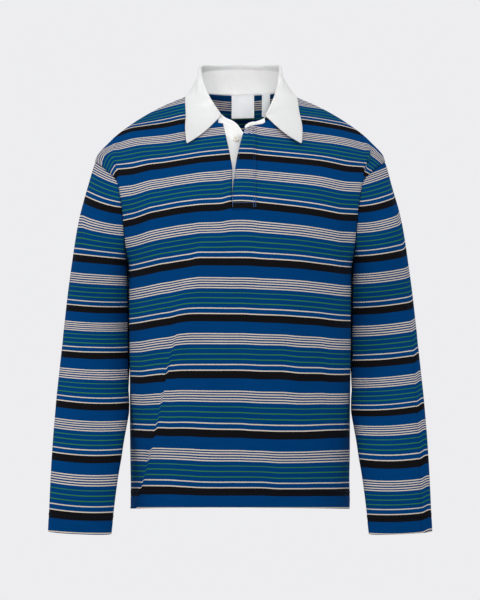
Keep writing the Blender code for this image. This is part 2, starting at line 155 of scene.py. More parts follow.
def table(names, rows):
    """The rows as one array for each named column."""
    return dict(zip(names.split(), np.array(rows, float).T))


def curve(at, knots, values):
    """A smooth curve through (knots, values) that never overshoots: cubic pieces, each knot's slope
    the harmonic mean of the slopes on its two sides."""
    at = np.clip(at, knots[0], knots[-1])
    step = np.diff(knots)
    slope = np.diff(values) / step
    rising = slope[:-1] * slope[1:] > 0
    total = np.where(rising, slope[:-1] + slope[1:], 1.0)
    middle = np.where(rising, 2 * slope[:-1] * slope[1:] / total, 0.0)
    tangent = np.concatenate([slope[:1], middle, slope[-1:]])
    i = np.clip(np.searchsorted(knots, at, side="right") - 1, 0, len(step) - 1)
    t = (at - knots[i]) / step[i]
    start = values[i] * (1 + 2 * t) * (1 - t) ** 2 + tangent[i] * step[i] * t * (1 - t) ** 2
    end = values[i + 1] * t**2 * (3 - 2 * t) + tangent[i + 1] * step[i] * t**2 * (t - 1)
    return start + end


def reading(rows, name, at):
    """The named column of a table at the given values of its first column."""
    return curve(at, next(iter(rows.values())), rows[name])


def ease(t):
    """0 to 1 with a level start and end: 3t^2 - 2t^3."""
    t = np.clip(t, 0, 1)
    return t * t * (3 - 2 * t)


def bell(distance, width):
    """1 at distance 0, falling away on both sides: exp(-(distance / width)^2)."""
    return np.exp(-((distance / width) ** 2))


print("a curve through 0, 1 and 4, half way up its last step:", curve(1.5, np.arange(3), np.array([0, 1, 4])))

# %% [markdown]
# A surface is a grid: an array of points with rows and columns. Its normals, the distances along it
# and the size of the flat cloth that it stands for all come from the steps between neighbours.

# %% Measures of a grid


def unit(vectors):
    """The vectors at length 1."""
    return vectors / np.maximum(np.linalg.norm(vectors, axis=-1, keepdims=True), 1e-12)


def facing(points):
    """Unit normals of a grid of points: the step along a row crossed with the step along a column."""
    return unit(np.cross(np.gradient(points, axis=1), np.gradient(points, axis=0)))


def relaxed(points, passes):
    """The rows of a grid evened out along it: each takes half of itself and a quarter of each
    neighbour, again and again, with the first and last rows held."""
    for _ in range(passes):
        points = points.copy()
        points[1:-1] = points[1:-1] / 2 + (points[:-2] + points[2:]) / 4
    return points


def arc(points, axis):
    """Distance travelled along a grid's rows (axis 1) or columns (axis 0)."""
    step = np.linalg.norm(np.diff(points, axis=axis), axis=2)
    pad = [(1, 0), (0, 0)] if axis == 0 else [(0, 0), (1, 0)]
    return np.pad(np.cumsum(step, axis=axis), pad)


def travelled(line):
    """Distance travelled along a line of points."""
    return arc(line[:, None], 0)[:, 0]


def cut_size(points):
    """(width, length, area) of the flat cloth that a grid of points stands for: its longest row, its
    longest column and the sum of its cells."""
    cells = np.cross(np.diff(points, axis=1)[:-1], np.diff(points, axis=0)[:, :-1])
    area = np.linalg.norm(cells, axis=2).sum()
    return arc(points, 1)[:, -1].max(), arc(points, 0)[-1].max(), area


square = np.stack([*np.meshgrid([0.0, 1.0], [0.0, 1.0]), np.zeros((2, 2))], -1)
print("a square one metre wide measures", cut_size(square))

# %% [markdown]
# ## From a grid to a piece of cloth
#
# Cloth is a thin wall, so each piece is one grid of points with a Solidify modifier. The grid could be
# made with bmesh operators, but here its corners are an array already, and the faces are index
# arithmetic. The piece carries a map called "cloth": across in metres, and along the knit in metres,
# counted so that the stripes follow it.

# %% Grid to mesh
REPEAT = 0.090
sheets = []  # each piece of cloth, with the size it was cut to


def grid_mesh(name, points, across, along, hole=None, closed=False):
    """A mesh of the grid's cells. Cell (r, c) joins points (r, c), (r, c+1), (r+1, c+1) and (r+1, c).
    A closed grid's last column is its first. hole leaves cells out."""
    rows, columns = points.shape[:2]
    kept = columns - 1 if closed else columns
    index = np.arange(rows * kept).reshape(rows, kept)
    if closed:
        index = np.concatenate([index, index[:, :1]], axis=1)
    corner = [(0, 0), (0, 1), (1, 1), (1, 0)]
    window = [(slice(r, rows - 1 + r), slice(c, columns - 1 + c)) for r, c in corner]
    faces = np.stack([index[w] for w in window], -1).reshape(-1, 4)
    uv = np.stack([across, along], -1)
    spots = np.stack([uv[w] for w in window], -2).reshape(-1, 4, 2)
    if hole is not None:
        keep = ~hole.reshape(-1)
        faces, spots = faces[keep], spots[keep]
    mesh = bpy.data.meshes.new(name)
    mesh.from_pydata(points[:, :kept].reshape(-1, 3), [], faces)
    layer = mesh.uv_layers.new(name="cloth")
    layer.data.foreach_set("uv", spots.astype(np.float32).ravel())
    mesh.shade_smooth()
    return mesh


def piece_of(name, mesh, material, slot, replaces=()):
    """An object for the mesh that rides on the shirt's one body and takes over CAD nodes."""
    piece = bpy.data.objects.new(name, mesh)
    bpy.context.scene.collection.objects.link(piece)
    mesh.materials.append(material)
    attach(piece, "root")
    if replaces:
        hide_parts(*replaces)
    return piece


def cloth(name, points, fabric, replaces, maps=None, form=None, outward=1.0, **shape):
    """A piece of cloth: the grid with a wall on one side of it. Without maps of its own, the piece is
    measured along its rows and columns. It was cut to the size of its smooth form, if it has one."""
    wall, material, slot = fabric
    maps = maps or (arc(points, 1), arc(points, 0))
    piece = piece_of(name, grid_mesh(name, points, *maps, **shape), material, slot, [replaces])
    thick = piece.modifiers.new("Wall", "SOLIDIFY")
    thick.thickness = wall
    thick.offset = outward
    thick.use_even_offset = False
    cut = cut_size(points if form is None else form)
    sheets.append((piece, cut))
    print(f"{name}: {len(piece.data.polygons)} cells, cut {1000 * cut[0]:.0f} x {1000 * cut[1]:.0f} mm")


# %% [markdown]
# ## The body's form
#
# A filled-out body is close to a tower of rounded rectangles: wide and full at the chest and hem,
# narrow and pointed over the shoulders. A superellipse covers all of them with two exponents, so a
# table of heights, widths, depths and exponents is the whole shape. Sculpting could give the same
# form, but a table can be measured and changed.

# %% The form
BODY = table("height half_width front back crown edge", (
    (-0.700, 0.1775, 0.143, 0.120, 2.80, 2.80), (-0.560, 0.1792, 0.146, 0.121, 2.80, 2.80),
    (-0.400, 0.1803, 0.150, 0.121, 2.75, 2.75), (-0.285, 0.1830, 0.150, 0.122, 2.70, 2.60),
    (-0.239, 0.1985, 0.149, 0.123, 2.50, 2.40), (-0.193, 0.2150, 0.146, 0.121, 2.20, 2.10),
    (-0.145, 0.2370, 0.128, 0.116, 1.95, 1.70), (-0.109, 0.2390, 0.105, 0.110, 1.85, 1.45),
    (-0.074, 0.2125, 0.081, 0.102, 1.80, 1.30), (-0.048, 0.1795, 0.068, 0.095, 1.80, 1.25),
    (-0.0215, 0.1345, 0.061, 0.085, 1.85, 1.35), (-0.003, 0.0900, 0.056, 0.074, 1.95, 1.60),
    (0.004, 0.0730, 0.054, 0.067, 2.00, 1.70), (0.012, 0.0600, 0.052, 0.058, 2.00, 1.70),
))


def body_value(name, z):
    """The form's measure of that name at height z."""
    return reading(BODY, name, z)


def around_of(x, z):
    """How far round the section, 0 at its middle and 1 at its side, the point at width x lies."""
    share = np.clip(np.abs(x) / body_value("half_width", z), 0, 1)
    return np.sign(x) * np.arcsin(share ** (body_value("crown", z) / 2)) / (pi / 2)


def body_point(around, z, side):
    """A point of the body's form: x = half_width * sin(a)^(2/crown), y = depth * cos(a)^(2/edge),
    with a = around * 90 degrees. side is "front" or "back"."""
    around, z = np.broadcast_arrays(around, z)
    angle = np.abs(around) * pi / 2
    x = np.sign(around) * body_value("half_width", z) * np.sin(angle) ** (2 / body_value("crown", z))
    y = body_value(side, z) * np.clip(np.cos(angle), 0, 1) ** (2 / body_value("edge", z))
    return np.stack([x, -y if side == "front" else y, z], -1)


print("chest is", round(2000 * body_value("half_width", np.array(-0.3))), "mm wide")

# %% [markdown]
# Sleeves hang against the body and the collar's leaf lies on the shoulders, so both must be kept just
# clear of the form. Collision in a cloth simulation would do that, but the form is a formula, so how
# far a point is from it can be worked out and put right in one go.

# %% Clear of the form


def depth_at(y, z):
    """Depth of the form at height z on the side, front or back, where y lies."""
    return np.where(y < 0, body_value("front", z), body_value("back", z))


def body_side(y, z):
    """Half width of the body's form at depth y and height z."""
    share = np.clip(np.abs(y) / depth_at(y, z), 0, 1)
    edge, crown = body_value("edge", z), body_value("crown", z)
    return body_value("half_width", z) * (1 - share**edge) ** (1 / crown)


def past_form(place):
    """(|x|/half_width)^crown + (|y|/depth)^edge - 1: 0 on the form and more than 0 outside it."""
    x, y, z = np.moveaxis(place, -1, 0)
    wide = (np.abs(x) / body_value("half_width", z)) ** body_value("crown", z)
    return wide + (np.abs(y) / depth_at(y, z)) ** body_value("edge", z) - 1


def off_the_body(points, clearance):
    """Points nearer to the form than clearance, moved straight out of it. Their distance from it is
    past_form over its slope, and four such steps settle it."""
    step = 1e-4
    for _ in range(4):
        here = past_form(points)
        slope = np.stack([(past_form(points + step * axis) - here) / step for axis in np.eye(3)], -1)
        steep = np.linalg.norm(slope, axis=-1, keepdims=True)
        short = np.maximum(clearance - here[..., None] / steep, 0)
        points = points + short * slope / steep
    return points


moved = off_the_body(np.array([[0.1, -0.12, -0.4]]), 0.001)[0]
print("a point inside the chest moves out to", np.round(moved, 3))

# %% [markdown]
# ## The stripes as a count
#
# Knitted stripes belong to the cloth: they follow its rows of stitches, rise over the chest and droop
# over the shoulders. So the pattern isn't painted by height. Each point of the cloth gets a number,
# the count of stripe repeats down to it, and the material turns that count into colours.
#
# The count comes from the heights at which each black band crosses the cloth, as they look from the
# camera. `seen` moves a point to the upright plane through the origin along its line of sight.

# %% Bands down the front
BODY_BANDS = table("x pin0 b1 pin1 b2 b3 b4 b5 b6 b7 b8", (
    (-200.5, -44.0, -61.9, -89.9, -122.9, -208.7, -292.1, -379.5, -460.7, -547.8, -644.4),
    (-177.4, -37.0, -54.1, -84.8, -120.9, -203.6, -289.2, -377.2, -459.4, -547.8, -644.4),
    (-164.2, -33.0, -52.3, -82.5, -118.0, -199.8, -286.4, -375.5, -459.9, -548.3, -644.5),
    (-147.7, -28.6, -49.7, -80.9, -114.5, -194.2, -282.8, -372.4, -458.2, -549.1, -644.5),
    (-131.2, -23.2, -47.2, -79.2, -112.4, -190.9, -279.0, -369.6, -456.4, -549.1, -644.7),
    (-114.7, -18.6, -44.1, -77.2, -109.7, -187.6, -276.5, -367.1, -455.9, -549.8, -645.0),
    (-98.2, -14.6, -40.3, -74.3, -106.9, -184.6, -273.7, -363.3, -454.7, -549.8, -646.1),
    (-81.7, -11.4, -37.9, -71.8, -104.4, -182.5, -271.1, -361.0, -454.6, -550.1, -647.0),
    (-65.2, -9.5, -36.0, -69.3, -102.0, -180.7, -268.5, -360.7, -454.6, -550.9, -648.0),
    (-32.2, -6.5, -33.0, -65.2, -98.8, -179.2, -268.5, -361.0, -454.7, -551.9, -648.3),
    (-15.7, -5.0, -31.4, -63.7, -97.4, -175.4, -268.6, -361.2, -454.6, -552.1, -648.0),
    (0.8, -4.0, -30.5, -62.0, -96.2, -174.6, -268.5, -361.2, -454.7, -552.4, -648.1),
    (17.3, -4.2, -30.7, -62.3, -96.7, -175.4, -268.8, -362.0, -455.2, -553.6, -648.0),
    (33.8, -5.8, -32.3, -65.4, -98.7, -177.5, -270.1, -362.7, -456.1, -554.2, -648.1),
    (66.8, -9.5, -36.0, -68.7, -101.3, -181.0, -271.8, -363.8, -456.4, -555.2, -649.8),
    (99.8, -17.4, -39.9, -72.9, -104.6, -184.5, -274.2, -366.0, -459.4, -555.1, -649.8),
    (132.8, -22.6, -44.6, -77.5, -108.6, -189.4, -278.2, -368.4, -459.9, -553.9, -649.4),
    (149.3, -25.5, -47.5, -79.2, -111.4, -192.7, -280.2, -370.6, -461.5, -553.2, -649.4),
    (165.8, -28.7, -50.7, -81.7, -114.8, -195.5, -282.5, -372.1, -461.7, -552.9, -649.1),
    (177.3, -31.6, -53.6, -83.8, -116.8, -196.0, -283.5, -372.6, -461.5, -552.4, -648.8),
    (203.8, -39.0, -61.1, -90.3, -118.8, -197.2, -284.6, -373.2, -461.5, -552.4, -648.8),
))
BODY_COUNTS = np.array([0.534, 1, 1.534, 2, 3, 4, 5, 6, 7, 8, 8.352])
HEM_LINE = -680.0
print("bands down the front:", len(BODY_BANDS) - 1)

# %% [markdown]
# Big folds break the stripes. A sharp crease runs from the hem's right corner up across the front,
# and the stripes lie lower on its outer side. The drop shoulders turn down beyond the chest: each
# turn has a line, and for every step outwards of it the stripes fall by so much. On the left that
# turn is a sharp fold, with a step in the stripes.

# %% Crease and shoulder turns
FRONT_CREASE = table("height x drop", (
    (-690.0, -169.5, 2.6), (-646.8, -159.5, 3.9), (-552.8, -137.3, 4.5), (-458.7, -119.5, 4.8),
    (-410.0, -108.0, 2.4), (-375.0, -99.5, 0.0),
))
CREASE_WIDTH = 1.2

# Small corrections of the count between the bands, where the cloth is stretched unevenly.
NUDGE_AT = (0.0, 4.9, 5.45, 5.9, 6.1, 6.5, 6.9, 7.1, 7.5, 8.0)
NUDGE = (0.0, 0.0, 0.0095, 0.005, 0.004, 0.0115, 0.003, 0.002, 0.0055, 0.0)

RIGHT_TURN = table("height x fall", (
    (-145.2, -199.7, 1.10), (-130.8, -201.0, 1.13), (-121.6, -203.3, 1.16), (-114.3, -205.4, 1.11),
    (-107.7, -207.6, 0.93), (-95.7, -209.9, 0.63), (-85.0, -206.0, 0.58), (-70.0, -203.0, 0.50),
    (-50.0, -200.0, 0.30),
))
LEFT_TURN = table("height x fall", (
    (-141.9, 202.9, 0.57), (-126.6, 204.2, 0.62), (-118.8, 205.9, 0.66), (-112.2, 208.7, 0.70),
    (-102.3, 212.0, 0.75), (-92.4, 215.3, 0.80), (-85.0, 211.0, 0.90), (-75.0, 206.0, 0.90),
    (-50.0, 200.0, 0.90),
))
LEFT_STEP, LEFT_STEP_WIDTH, LEFT_STEP_TOP = 5.0, 3.0, -86.0
TURN_FADE = 60
print("the stripes drop by up to", FRONT_CREASE["drop"].max(), "mm across the crease")

# %% [markdown]
# A sleeve's bands are told by three points each, at the outer edge, in the middle and at the inner
# edge, from the first black band above the seam down to the ecru line at the cuff's edge. The left
# sleeve is creased down its outer edge, and the stripes rise beyond that crease.

# %% Bands down the sleeves
BAND_COLUMNS = "count outer_x outer_z middle_x middle_z inner_x inner_z"
RIGHT_BANDS = table(BAND_COLUMNS, (
    (0, -243.4, -76.8, -217.5, -94.5, -200.5, -103.5),
    (1, -256.6, -165.8, -225.2, -178.9, -193.9, -185.3),
    (2, -274.8, -261.9, -230.2, -266.6, -185.6, -270.9),
    (3, -286.3, -344.9, -233.5, -349.0, -184.0, -349.1),
    (4, -294.5, -421.1, -238.4, -424.2, -180.7, -423.4),
    (5, -302.8, -502.8, -243.4, -508.5, -182.3, -506.9),
    (6, -309.4, -589.0, -251.6, -594.8, -197.2, -593.3),
    (7, -314.3, -682.8, -259.9, -688.7, -208.7, -688.2),
    (7.347, -312.7, -718.2, -263.2, -721.5, -217.0, -721.9),
))
LEFT_BANDS = table(BAND_COLUMNS, (
    (0, 246.2, -87.3, 223.6, -97.7, 205.9, -105.9), (1, 259.9, -167.3, 231.8, -177.5, 202.1, -182.8),
    (2, 276.4, -253.3, 233.4, -262.0, 193.8, -265.5), (3, 282.9, -341.2, 235.1, -348.1, 188.9, -350.6),
    (4, 292.9, -429.0, 240.1, -435.3, 185.6, -437.6), (5, 299.4, -512.0, 245.0, -518.6, 185.6, -519.0),
    (5.435, 304.0, -546.0, 248.1, -552.3, 191.9, -551.2),
    (6, 309.4, -597.8, 251.6, -603.6, 198.8, -600.6),
    (6.434, 310.8, -638.9, 255.9, -644.1, 203.1, -642.0),
    (7, 312.6, -688.0, 261.5, -692.3, 208.7, -691.5),
    (7.347, 314.3, -718.6, 259.9, -723.0, 217.0, -722.2),
))
LEFT_CREASE = table("height x rise width", (
    (-722.0, 299.5, 3.7, 13), (-659.0, 298.4, 3.7, 12), (-600.0, 296.0, 3.7, 11), (-500.0, 291.0, 3.7, 9),
    (-400.0, 284.5, 3.7, 7), (-304.0, 277.8, 4.0, 6), (-242.0, 267.9, 4.5, 5), (-180.5, 257.2, 5.0, 4),
    (-134.3, 245.2, 5.0, 4), (-100.0, 236.0, 0.0, 4),
))


def past_crease(x, z):
    """How far x lies beyond the left sleeve's crease at height z, in mm."""
    return x - reading(LEFT_CREASE, "x", z)


print("bands down a sleeve:", len(RIGHT_BANDS["count"]) - 1)

# %% [markdown]
# Counting is a curve once more: between two bands the count runs smoothly from one to the next, and
# past the last one it goes on straight.

# %% Counting


def seen(points):
    """(x, z) in mm on the upright plane y = 0: a point's offset from the camera's axis times
    distance / (distance + y)."""
    near = CAMERA_DISTANCE / (CAMERA_DISTANCE + points[..., 1])
    x = CAMERA_X + (points[..., 0] - CAMERA_X) * near
    z = CAMERA_Z + (points[..., 2] - CAMERA_Z) * near
    return 1000 * x, 1000 * z


def count_down(heights, counts, z):
    """The stripe count at height z. heights holds where the given counts lie, from the top down on its
    last axis. Cubic pieces join them, with each knot's rate the harmonic mean of its neighbours'
    rates, and the ends go on straight."""
    step = heights[..., :-1] - heights[..., 1:]
    rise = np.diff(counts)
    rate = rise / step
    middle = 2 * rate[..., :-1] * rate[..., 1:] / (rate[..., :-1] + rate[..., 1:])
    rate = np.concatenate([rate[..., :1], middle, rate[..., -1:]], -1)
    last = heights.shape[-1] - 2
    i = np.clip((heights > z[..., None]).sum(-1) - 1, 0, last)[..., None]
    top, gap = (np.take_along_axis(a, i, -1)[..., 0] for a in (heights, step))
    first, second = (np.take_along_axis(rate, i + k, -1)[..., 0] * gap for k in (0, 1))
    t = (top - z) / gap
    s = np.clip(t, 0, 1)
    inside = first * s * (1 - s) ** 2 + rise[i[..., 0]] * s**2 * (3 - 2 * s) + second * s**2 * (s - 1)
    return counts[i[..., 0]] + inside + np.minimum(t, 0) * first + np.maximum(t - 1, 0) * second


def front_count(points):
    """The front's stripe count. Beyond the turn of the drop shoulder a point counts as if it were on
    the turn's line, lower by the fall. Outside the crease it counts as if it were higher by the
    drop."""
    x, z = seen(points)
    past_right = np.maximum(reading(RIGHT_TURN, "x", z) - x, 0)
    past_left = np.maximum(x - reading(LEFT_TURN, "x", z), 0)
    right_fall, left_fall = (reading(turn, "fall", z) for turn in (RIGHT_TURN, LEFT_TURN))
    fade = ease((z - RIGHT_TURN["height"][0] + TURN_FADE) / TURN_FADE)
    step = LEFT_STEP * ease(past_left / LEFT_STEP_WIDTH) * ease((LEFT_STEP_TOP - z) / 8)
    x = x + past_right - past_left
    z = z + fade * (past_right * right_fall + past_left * left_fall + step)
    crease_x, drop = (reading(FRONT_CREASE, name, z) for name in ("x", "drop"))
    z = z + drop * ease((crease_x - x) / CREASE_WIDTH + 0.5)
    bands = [reading(BODY_BANDS, name, x) for name in BODY_BANDS if name != "x"]
    bands = np.stack([*bands, np.full_like(x, HEM_LINE)], -1)
    count = count_down(bands, BODY_COUNTS, z)
    return count + np.interp(count, NUDGE_AT, NUDGE)


def sleeve_count(points, bands):
    """A sleeve's stripe count. Each band is a parabola through its three points."""
    x, z = seen(points)
    if bands is LEFT_BANDS:
        rise, width = (reading(LEFT_CREASE, name, z) for name in ("rise", "width"))
        z = z - rise * ease(past_crease(x, z) / width)
    x = x[..., None]
    far, middle, near = bands["outer_x"], bands["middle_x"], bands["inner_x"]
    x = np.clip(x, np.minimum(far, near) - 3, np.maximum(far, near) + 3)
    heights = (
        bands["outer_z"] * (x - middle) * (x - near) / ((far - middle) * (far - near))
        + bands["middle_z"] * (x - far) * (x - near) / ((middle - far) * (middle - near))
        + bands["inner_z"] * (x - far) * (x - middle) / ((near - far) * (near - middle))
    )
    return count_down(heights, bands["count"], z)


belly = front_count(np.array([[0.0, -0.15, -0.4]]))[0]
print("stripe repeats down to the middle of the front:", round(float(belly), 2))

# %% [markdown]
# ## Materials
#
# The stripes are one colour ramp with hard steps, read at the fraction of the stripe count. Black,
# blue, five ecru pins, three greens and two ecru lines make one repeat.

# %% Stripe colours
BLUE = (0.0003, 0.0485, 0.185)
BLACK = (0.0075, 0.0065, 0.0075)
ECRU = (0.755, 0.655, 0.535)
GREEN = (0.036, 0.192, 0.068)
PIN, GREEN_LINE, ECRU_LINE = 0.0196, 0.0185, 0.0215
BLACK_END = 0.126

# The middle of each line on the blue, its width and its colour, as shares of the repeat.
LINES = [(middle, PIN, ECRU) for middle in (0.3470, 0.3915, 0.4350, 0.4790, 0.5220)]
LINES += [(middle, GREEN_LINE, GREEN) for middle in (0.6110, 0.7030, 0.7960)]
LINES += [(middle, ECRU_LINE, ECRU) for middle in (0.8860, 0.98475)]
STRIPES = [(0.0, BLACK), (BLACK_END, BLUE)]
for middle, width, colour in LINES:
    STRIPES += [(middle - width / 2, colour), (middle + width / 2, BLUE)]
STRIPES[-1] = (STRIPES[-1][0], BLACK)
print("stripe steps:", len(STRIPES))

# %% [markdown]
# A material is a graph of nodes. A few helpers write its arithmetic: what they take are constants or
# other nodes' outputs, and what they give back is an output.

# %% Shader helpers


def shader(name, roughness, specular, sheen=0.0, sheen_colour=(1, 1, 1)):
    """A material with one Principled shader whose even values are set on its own sockets."""
    material = bpy.data.materials.new(name)
    material.use_nodes = True
    tree = material.node_tree
    surface = tree.nodes["Principled BSDF"]
    fill(tree, surface, {"Roughness": roughness, "Specular IOR Level": specular})
    fill(tree, surface, {"Sheen Weight": sheen, "Sheen Roughness": 0.5, "Sheen Tint": (*sheen_colour, 1)})
    return material, tree, surface


def maths(tree, operation, *values):
    """A Math node of these values."""
    return node(tree, "ShaderNodeMath", dict(enumerate(values)), operation=operation)


def cloth_map(tree):
    """The two numbers of the map "cloth": across and along, in metres."""
    parts = tree.nodes.new("ShaderNodeSeparateXYZ")
    fill(tree, parts, {0: node(tree, "ShaderNodeUVMap", uv_map="cloth")})
    return parts.outputs["X"], parts.outputs["Y"]


def cloth_noise(tree, place, across_scale, along_scale, detail=2.0):
    """Noise from 0 to 1 over the cloth, with so many grains to the metre across and along it."""
    x, y = (maths(tree, "MULTIPLY", *pair) for pair in zip(place, (across_scale, along_scale)))
    spot = node(tree, "ShaderNodeCombineXYZ", {"X": x, "Y": y})
    return node(tree, "ShaderNodeTexNoise", {"Scale": 1.0, "Detail": detail, "Vector": spot})


def object_noise(tree, scale):
    """Noise from 0 to 1 on the object's own coordinates."""
    place = tree.nodes.new("ShaderNodeTexCoord").outputs["Object"]
    return node(tree, "ShaderNodeTexNoise", {"Scale": scale, "Vector": place})


def uneven(tree, noise, amount):
    """(noise - 0.5) * amount."""
    return maths(tree, "MULTIPLY", maths(tree, "SUBTRACT", noise, 0.5), amount)


def ridge(tree, value):
    """A round ridge over each whole step of value: 1 - (2 * fraction - 1)^2."""
    centred = maths(tree, "MULTIPLY_ADD", maths(tree, "FRACT", value), 2.0, -1.0)
    return maths(tree, "SUBTRACT", 1.0, maths(tree, "POWER", maths(tree, "ABSOLUTE", centred), 2.0))


def add_colour(tree, surface, colour, shade):
    """The colour times 1 + shade, into the shader's base colour."""
    factor = maths(tree, "ADD", shade, 1.0)
    lit = node(tree, "ShaderNodeVectorMath", {0: colour, "Scale": factor}, operation="SCALE")
    fill(tree, surface, {"Base Color": lit})


def add_bump(tree, surface, height, strength, distance):
    """The height as a bump of the shader's surface, distance deep in metres."""
    sockets = {"Strength": strength, "Distance": distance, "Height": height}
    fill(tree, surface, {"Normal": node(tree, "ShaderNodeBump", sockets)})


print("materials before the first of these:", len(bpy.data.materials))

# %% [markdown]
# A knit is never even, so a fine noise shifts each stripe's edge by part of a stitch and streaks the
# rows. The loops of the jersey are a small bump: round columns crossed by slanting legs. A picture of
# knit would do too, but it would repeat, and blur close by.

# %% Jersey
WALE = 0.00125
COURSE = REPEAT / 84


def jersey_material():
    """The ramp of stripes read at fraction(along / REPEAT + shift), with the knit's bump."""
    material, tree, surface = shader("striped_jersey", 0.95, 0.015, 0.05, (0.10, 0.35, 0.75))
    place = across, along = cloth_map(tree)
    shift = uneven(tree, cloth_noise(tree, place, 260.0, 500.0), 0.005)
    count = maths(tree, "ADD", maths(tree, "DIVIDE", along, REPEAT), shift)
    colours = node(tree, "ShaderNodeValToRGB", {0: maths(tree, "FRACT", count)})
    colours.node.color_ramp.interpolation = "CONSTANT"
    stops = colours.node.color_ramp.elements
    stops.remove(stops[1])
    stops[0].color = (*STRIPES[0][1], 1)
    for at, colour in STRIPES[1:]:
        stops.new(at).color = (*colour, 1)
    streak = uneven(tree, cloth_noise(tree, place, 22.0, 380.0, 3.0), 0.34)
    patch = uneven(tree, cloth_noise(tree, place, 14.0, 14.0), 0.12)
    add_colour(tree, surface, colours, maths(tree, "ADD", streak, patch))
    column = maths(tree, "DIVIDE", across, WALE)
    slanted = maths(tree, "ADD", maths(tree, "DIVIDE", along, COURSE), maths(tree, "PINGPONG", column, 0.5))
    columns = maths(tree, "MULTIPLY", ridge(tree, column), 0.6)
    legs = maths(tree, "MULTIPLY", ridge(tree, slanted), 0.4)
    add_bump(tree, surface, maths(tree, "ADD", columns, legs), 0.3, 0.0003)
    return material


jersey = jersey_material()
print("jersey nodes:", len(jersey.node_tree.nodes))

# %% [markdown]
# The collar and the under placket are white cotton twill: a firm weave whose threads step sideways,
# so fine ribs run across it at a slant. Labels are smooth woven tape with level ribs. Thread is a
# twisted yarn with a slight shine.

# %% Twill, tape, thread and horn
WHITE = (0.795, 0.795, 0.787)
# The second white is the collar's twill set much brighter: painted light for the under placket and neck band,
# which lie in shade in the open V.
PAINTED_LIGHT_WHITE = (0.930, 0.925, 0.912)
TAPE_AND_PAINTED_LIGHT = (0.93, 0.94, 0.96)
# The labels' tape: its own bluish white, set brighter than the collar's twill as painted light against the
# shade inside the neck.
IVORY = (0.86, 0.83, 0.76)
TWILL_RIB, TAPE_RIB = 0.0009, 0.0006
JERSEY, TWILL, COLLAR_WALL, LABEL_WALL = 0.0012, 0.0012, 0.0013, 0.0006

# The colour of each thread, and the slot of what it holds. The last is no thread but painted shade for the
# buttonhole slit's opening.
THREADS = {
    "blue": ((0.012, 0.085, 0.29), "striped_jersey"),
    "navy": ((0.004, 0.012, 0.035), "striped_jersey"),
    "white": ((0.82, 0.82, 0.80), "white_twill"),
    "beige": ((0.55, 0.43, 0.28), "button"),
    "pale": ((0.16, 0.28, 0.55), "striped_jersey"),
    "grey": ((0.060, 0.085, 0.16), "striped_jersey"),
    # Near-black painted shade for the buttonhole slit's opening, not a thread.
    "slit_shade": ((0.010, 0.012, 0.020), "striped_jersey"),
}


def ribbed_material(name, colour, slope, rib, strength, roughness, sheen):
    """A plain colour with fine ribs: ridges of (across * slope + along) / rib, and soft unevenness."""
    material, tree, surface = shader(name, roughness, 0.15, sheen)
    place = across, along = cloth_map(tree)
    slanted = maths(tree, "ADD", maths(tree, "MULTIPLY", across, slope), along)
    ribs = ridge(tree, maths(tree, "DIVIDE", slanted, rib))
    slub, patch = (cloth_noise(tree, place, scale, scale) for scale in (400.0, 30.0))
    shade = maths(tree, "ADD", uneven(tree, patch, 0.05), uneven(tree, slub, 0.06))
    add_colour(tree, surface, colour, shade)
    add_bump(tree, surface, maths(tree, "ADD", ribs, maths(tree, "MULTIPLY", slub, 0.5)), strength, 0.0002)
    return material


def thread_material(name, colour):
    """Twisted yarn: a colour and a bump varied by noise."""
    material, tree, surface = shader(name, 0.6, 0.2, 0.2, colour)
    twist = object_noise(tree, 900.0)
    add_colour(tree, surface, colour, uneven(tree, twist, 0.5))
    add_bump(tree, surface, twist, 0.2, 0.0002)
    return material


def horn_material():
    """Ivory button plastic: clouded by noise, with a soft gloss."""
    material, tree, surface = shader("button_ivory", 0.35, 0.5)
    clouds = uneven(tree, object_noise(tree, 220.0), 0.15)
    add_colour(tree, surface, IVORY, clouds)
    return material


twill = ribbed_material("white_twill", WHITE, 1.0, TWILL_RIB, 0.25, 0.85, 0.1)
# The under placket's twill is the collar's twill in a brighter colour, painted light against the shade in the
# V.
painted_light_twill = ribbed_material("painted_light_twill", PAINTED_LIGHT_WHITE, 1.0, TWILL_RIB, 0.25, 0.85, 0.1)
tape = ribbed_material("label_tape", TAPE_AND_PAINTED_LIGHT, 0.0, TAPE_RIB, 0.2, 0.6, 0.05)
thread = {name: (thread_material(name + "_thread", c), slot) for name, (c, slot) in THREADS.items()}
horn = horn_material()

# A fabric is the thickness of its wall, its material and its slot.
striped = (JERSEY, jersey, "striped_jersey")
# placket_white carries that brightened twill, painted light for the under placket and neck band.
placket_white = (TWILL, painted_light_twill, "white_twill")
collar_white = (COLLAR_WALL, twill, "white_twill")
woven = (LABEL_WALL, tape, "woven_label")
print("materials:", [m.name for m in bpy.data.materials])

# %% [markdown]
# ## The panels' edges
#
# A panel is a four-sided grid. Its sides are side seam, armhole and shoulder seam in one run, its top
# is the neckline and its bottom the hem. Flat pattern pieces sewn by simulation would be truer to the
# trade, but they can't be held to a given outline.

# %% Panel edges
UNDERARM_Z = -0.285
SHOULDER_TIP_Z = -0.109
NECK_POINT_X, NECK_POINT_Z = 0.073, 0.004
NECK_FRONT_Z, NECK_BACK_Z = -0.053, 0.006
HEM_SIDE_Z, HEM_FRONT_Z, HEM_BACK_Z = -0.680, -0.663, -0.690
SEAM_GAP = 0.0003
SIDE_ROWS, HOLE_ROWS, SHOULDER_ROWS = 136, 96, 62
SIDE_LENGTHS = (0.395, 0.275, 0.205)
ARMHOLE = table("height x", (
    (-0.285, 0.1830), (-0.262, 0.1845), (-0.238, 0.1860), (-0.215, 0.1877), (-0.186, 0.1908),
    (-0.160, 0.1950), (-0.145, 0.1990), (-0.125, 0.2185), (-0.109, 0.2390),
))


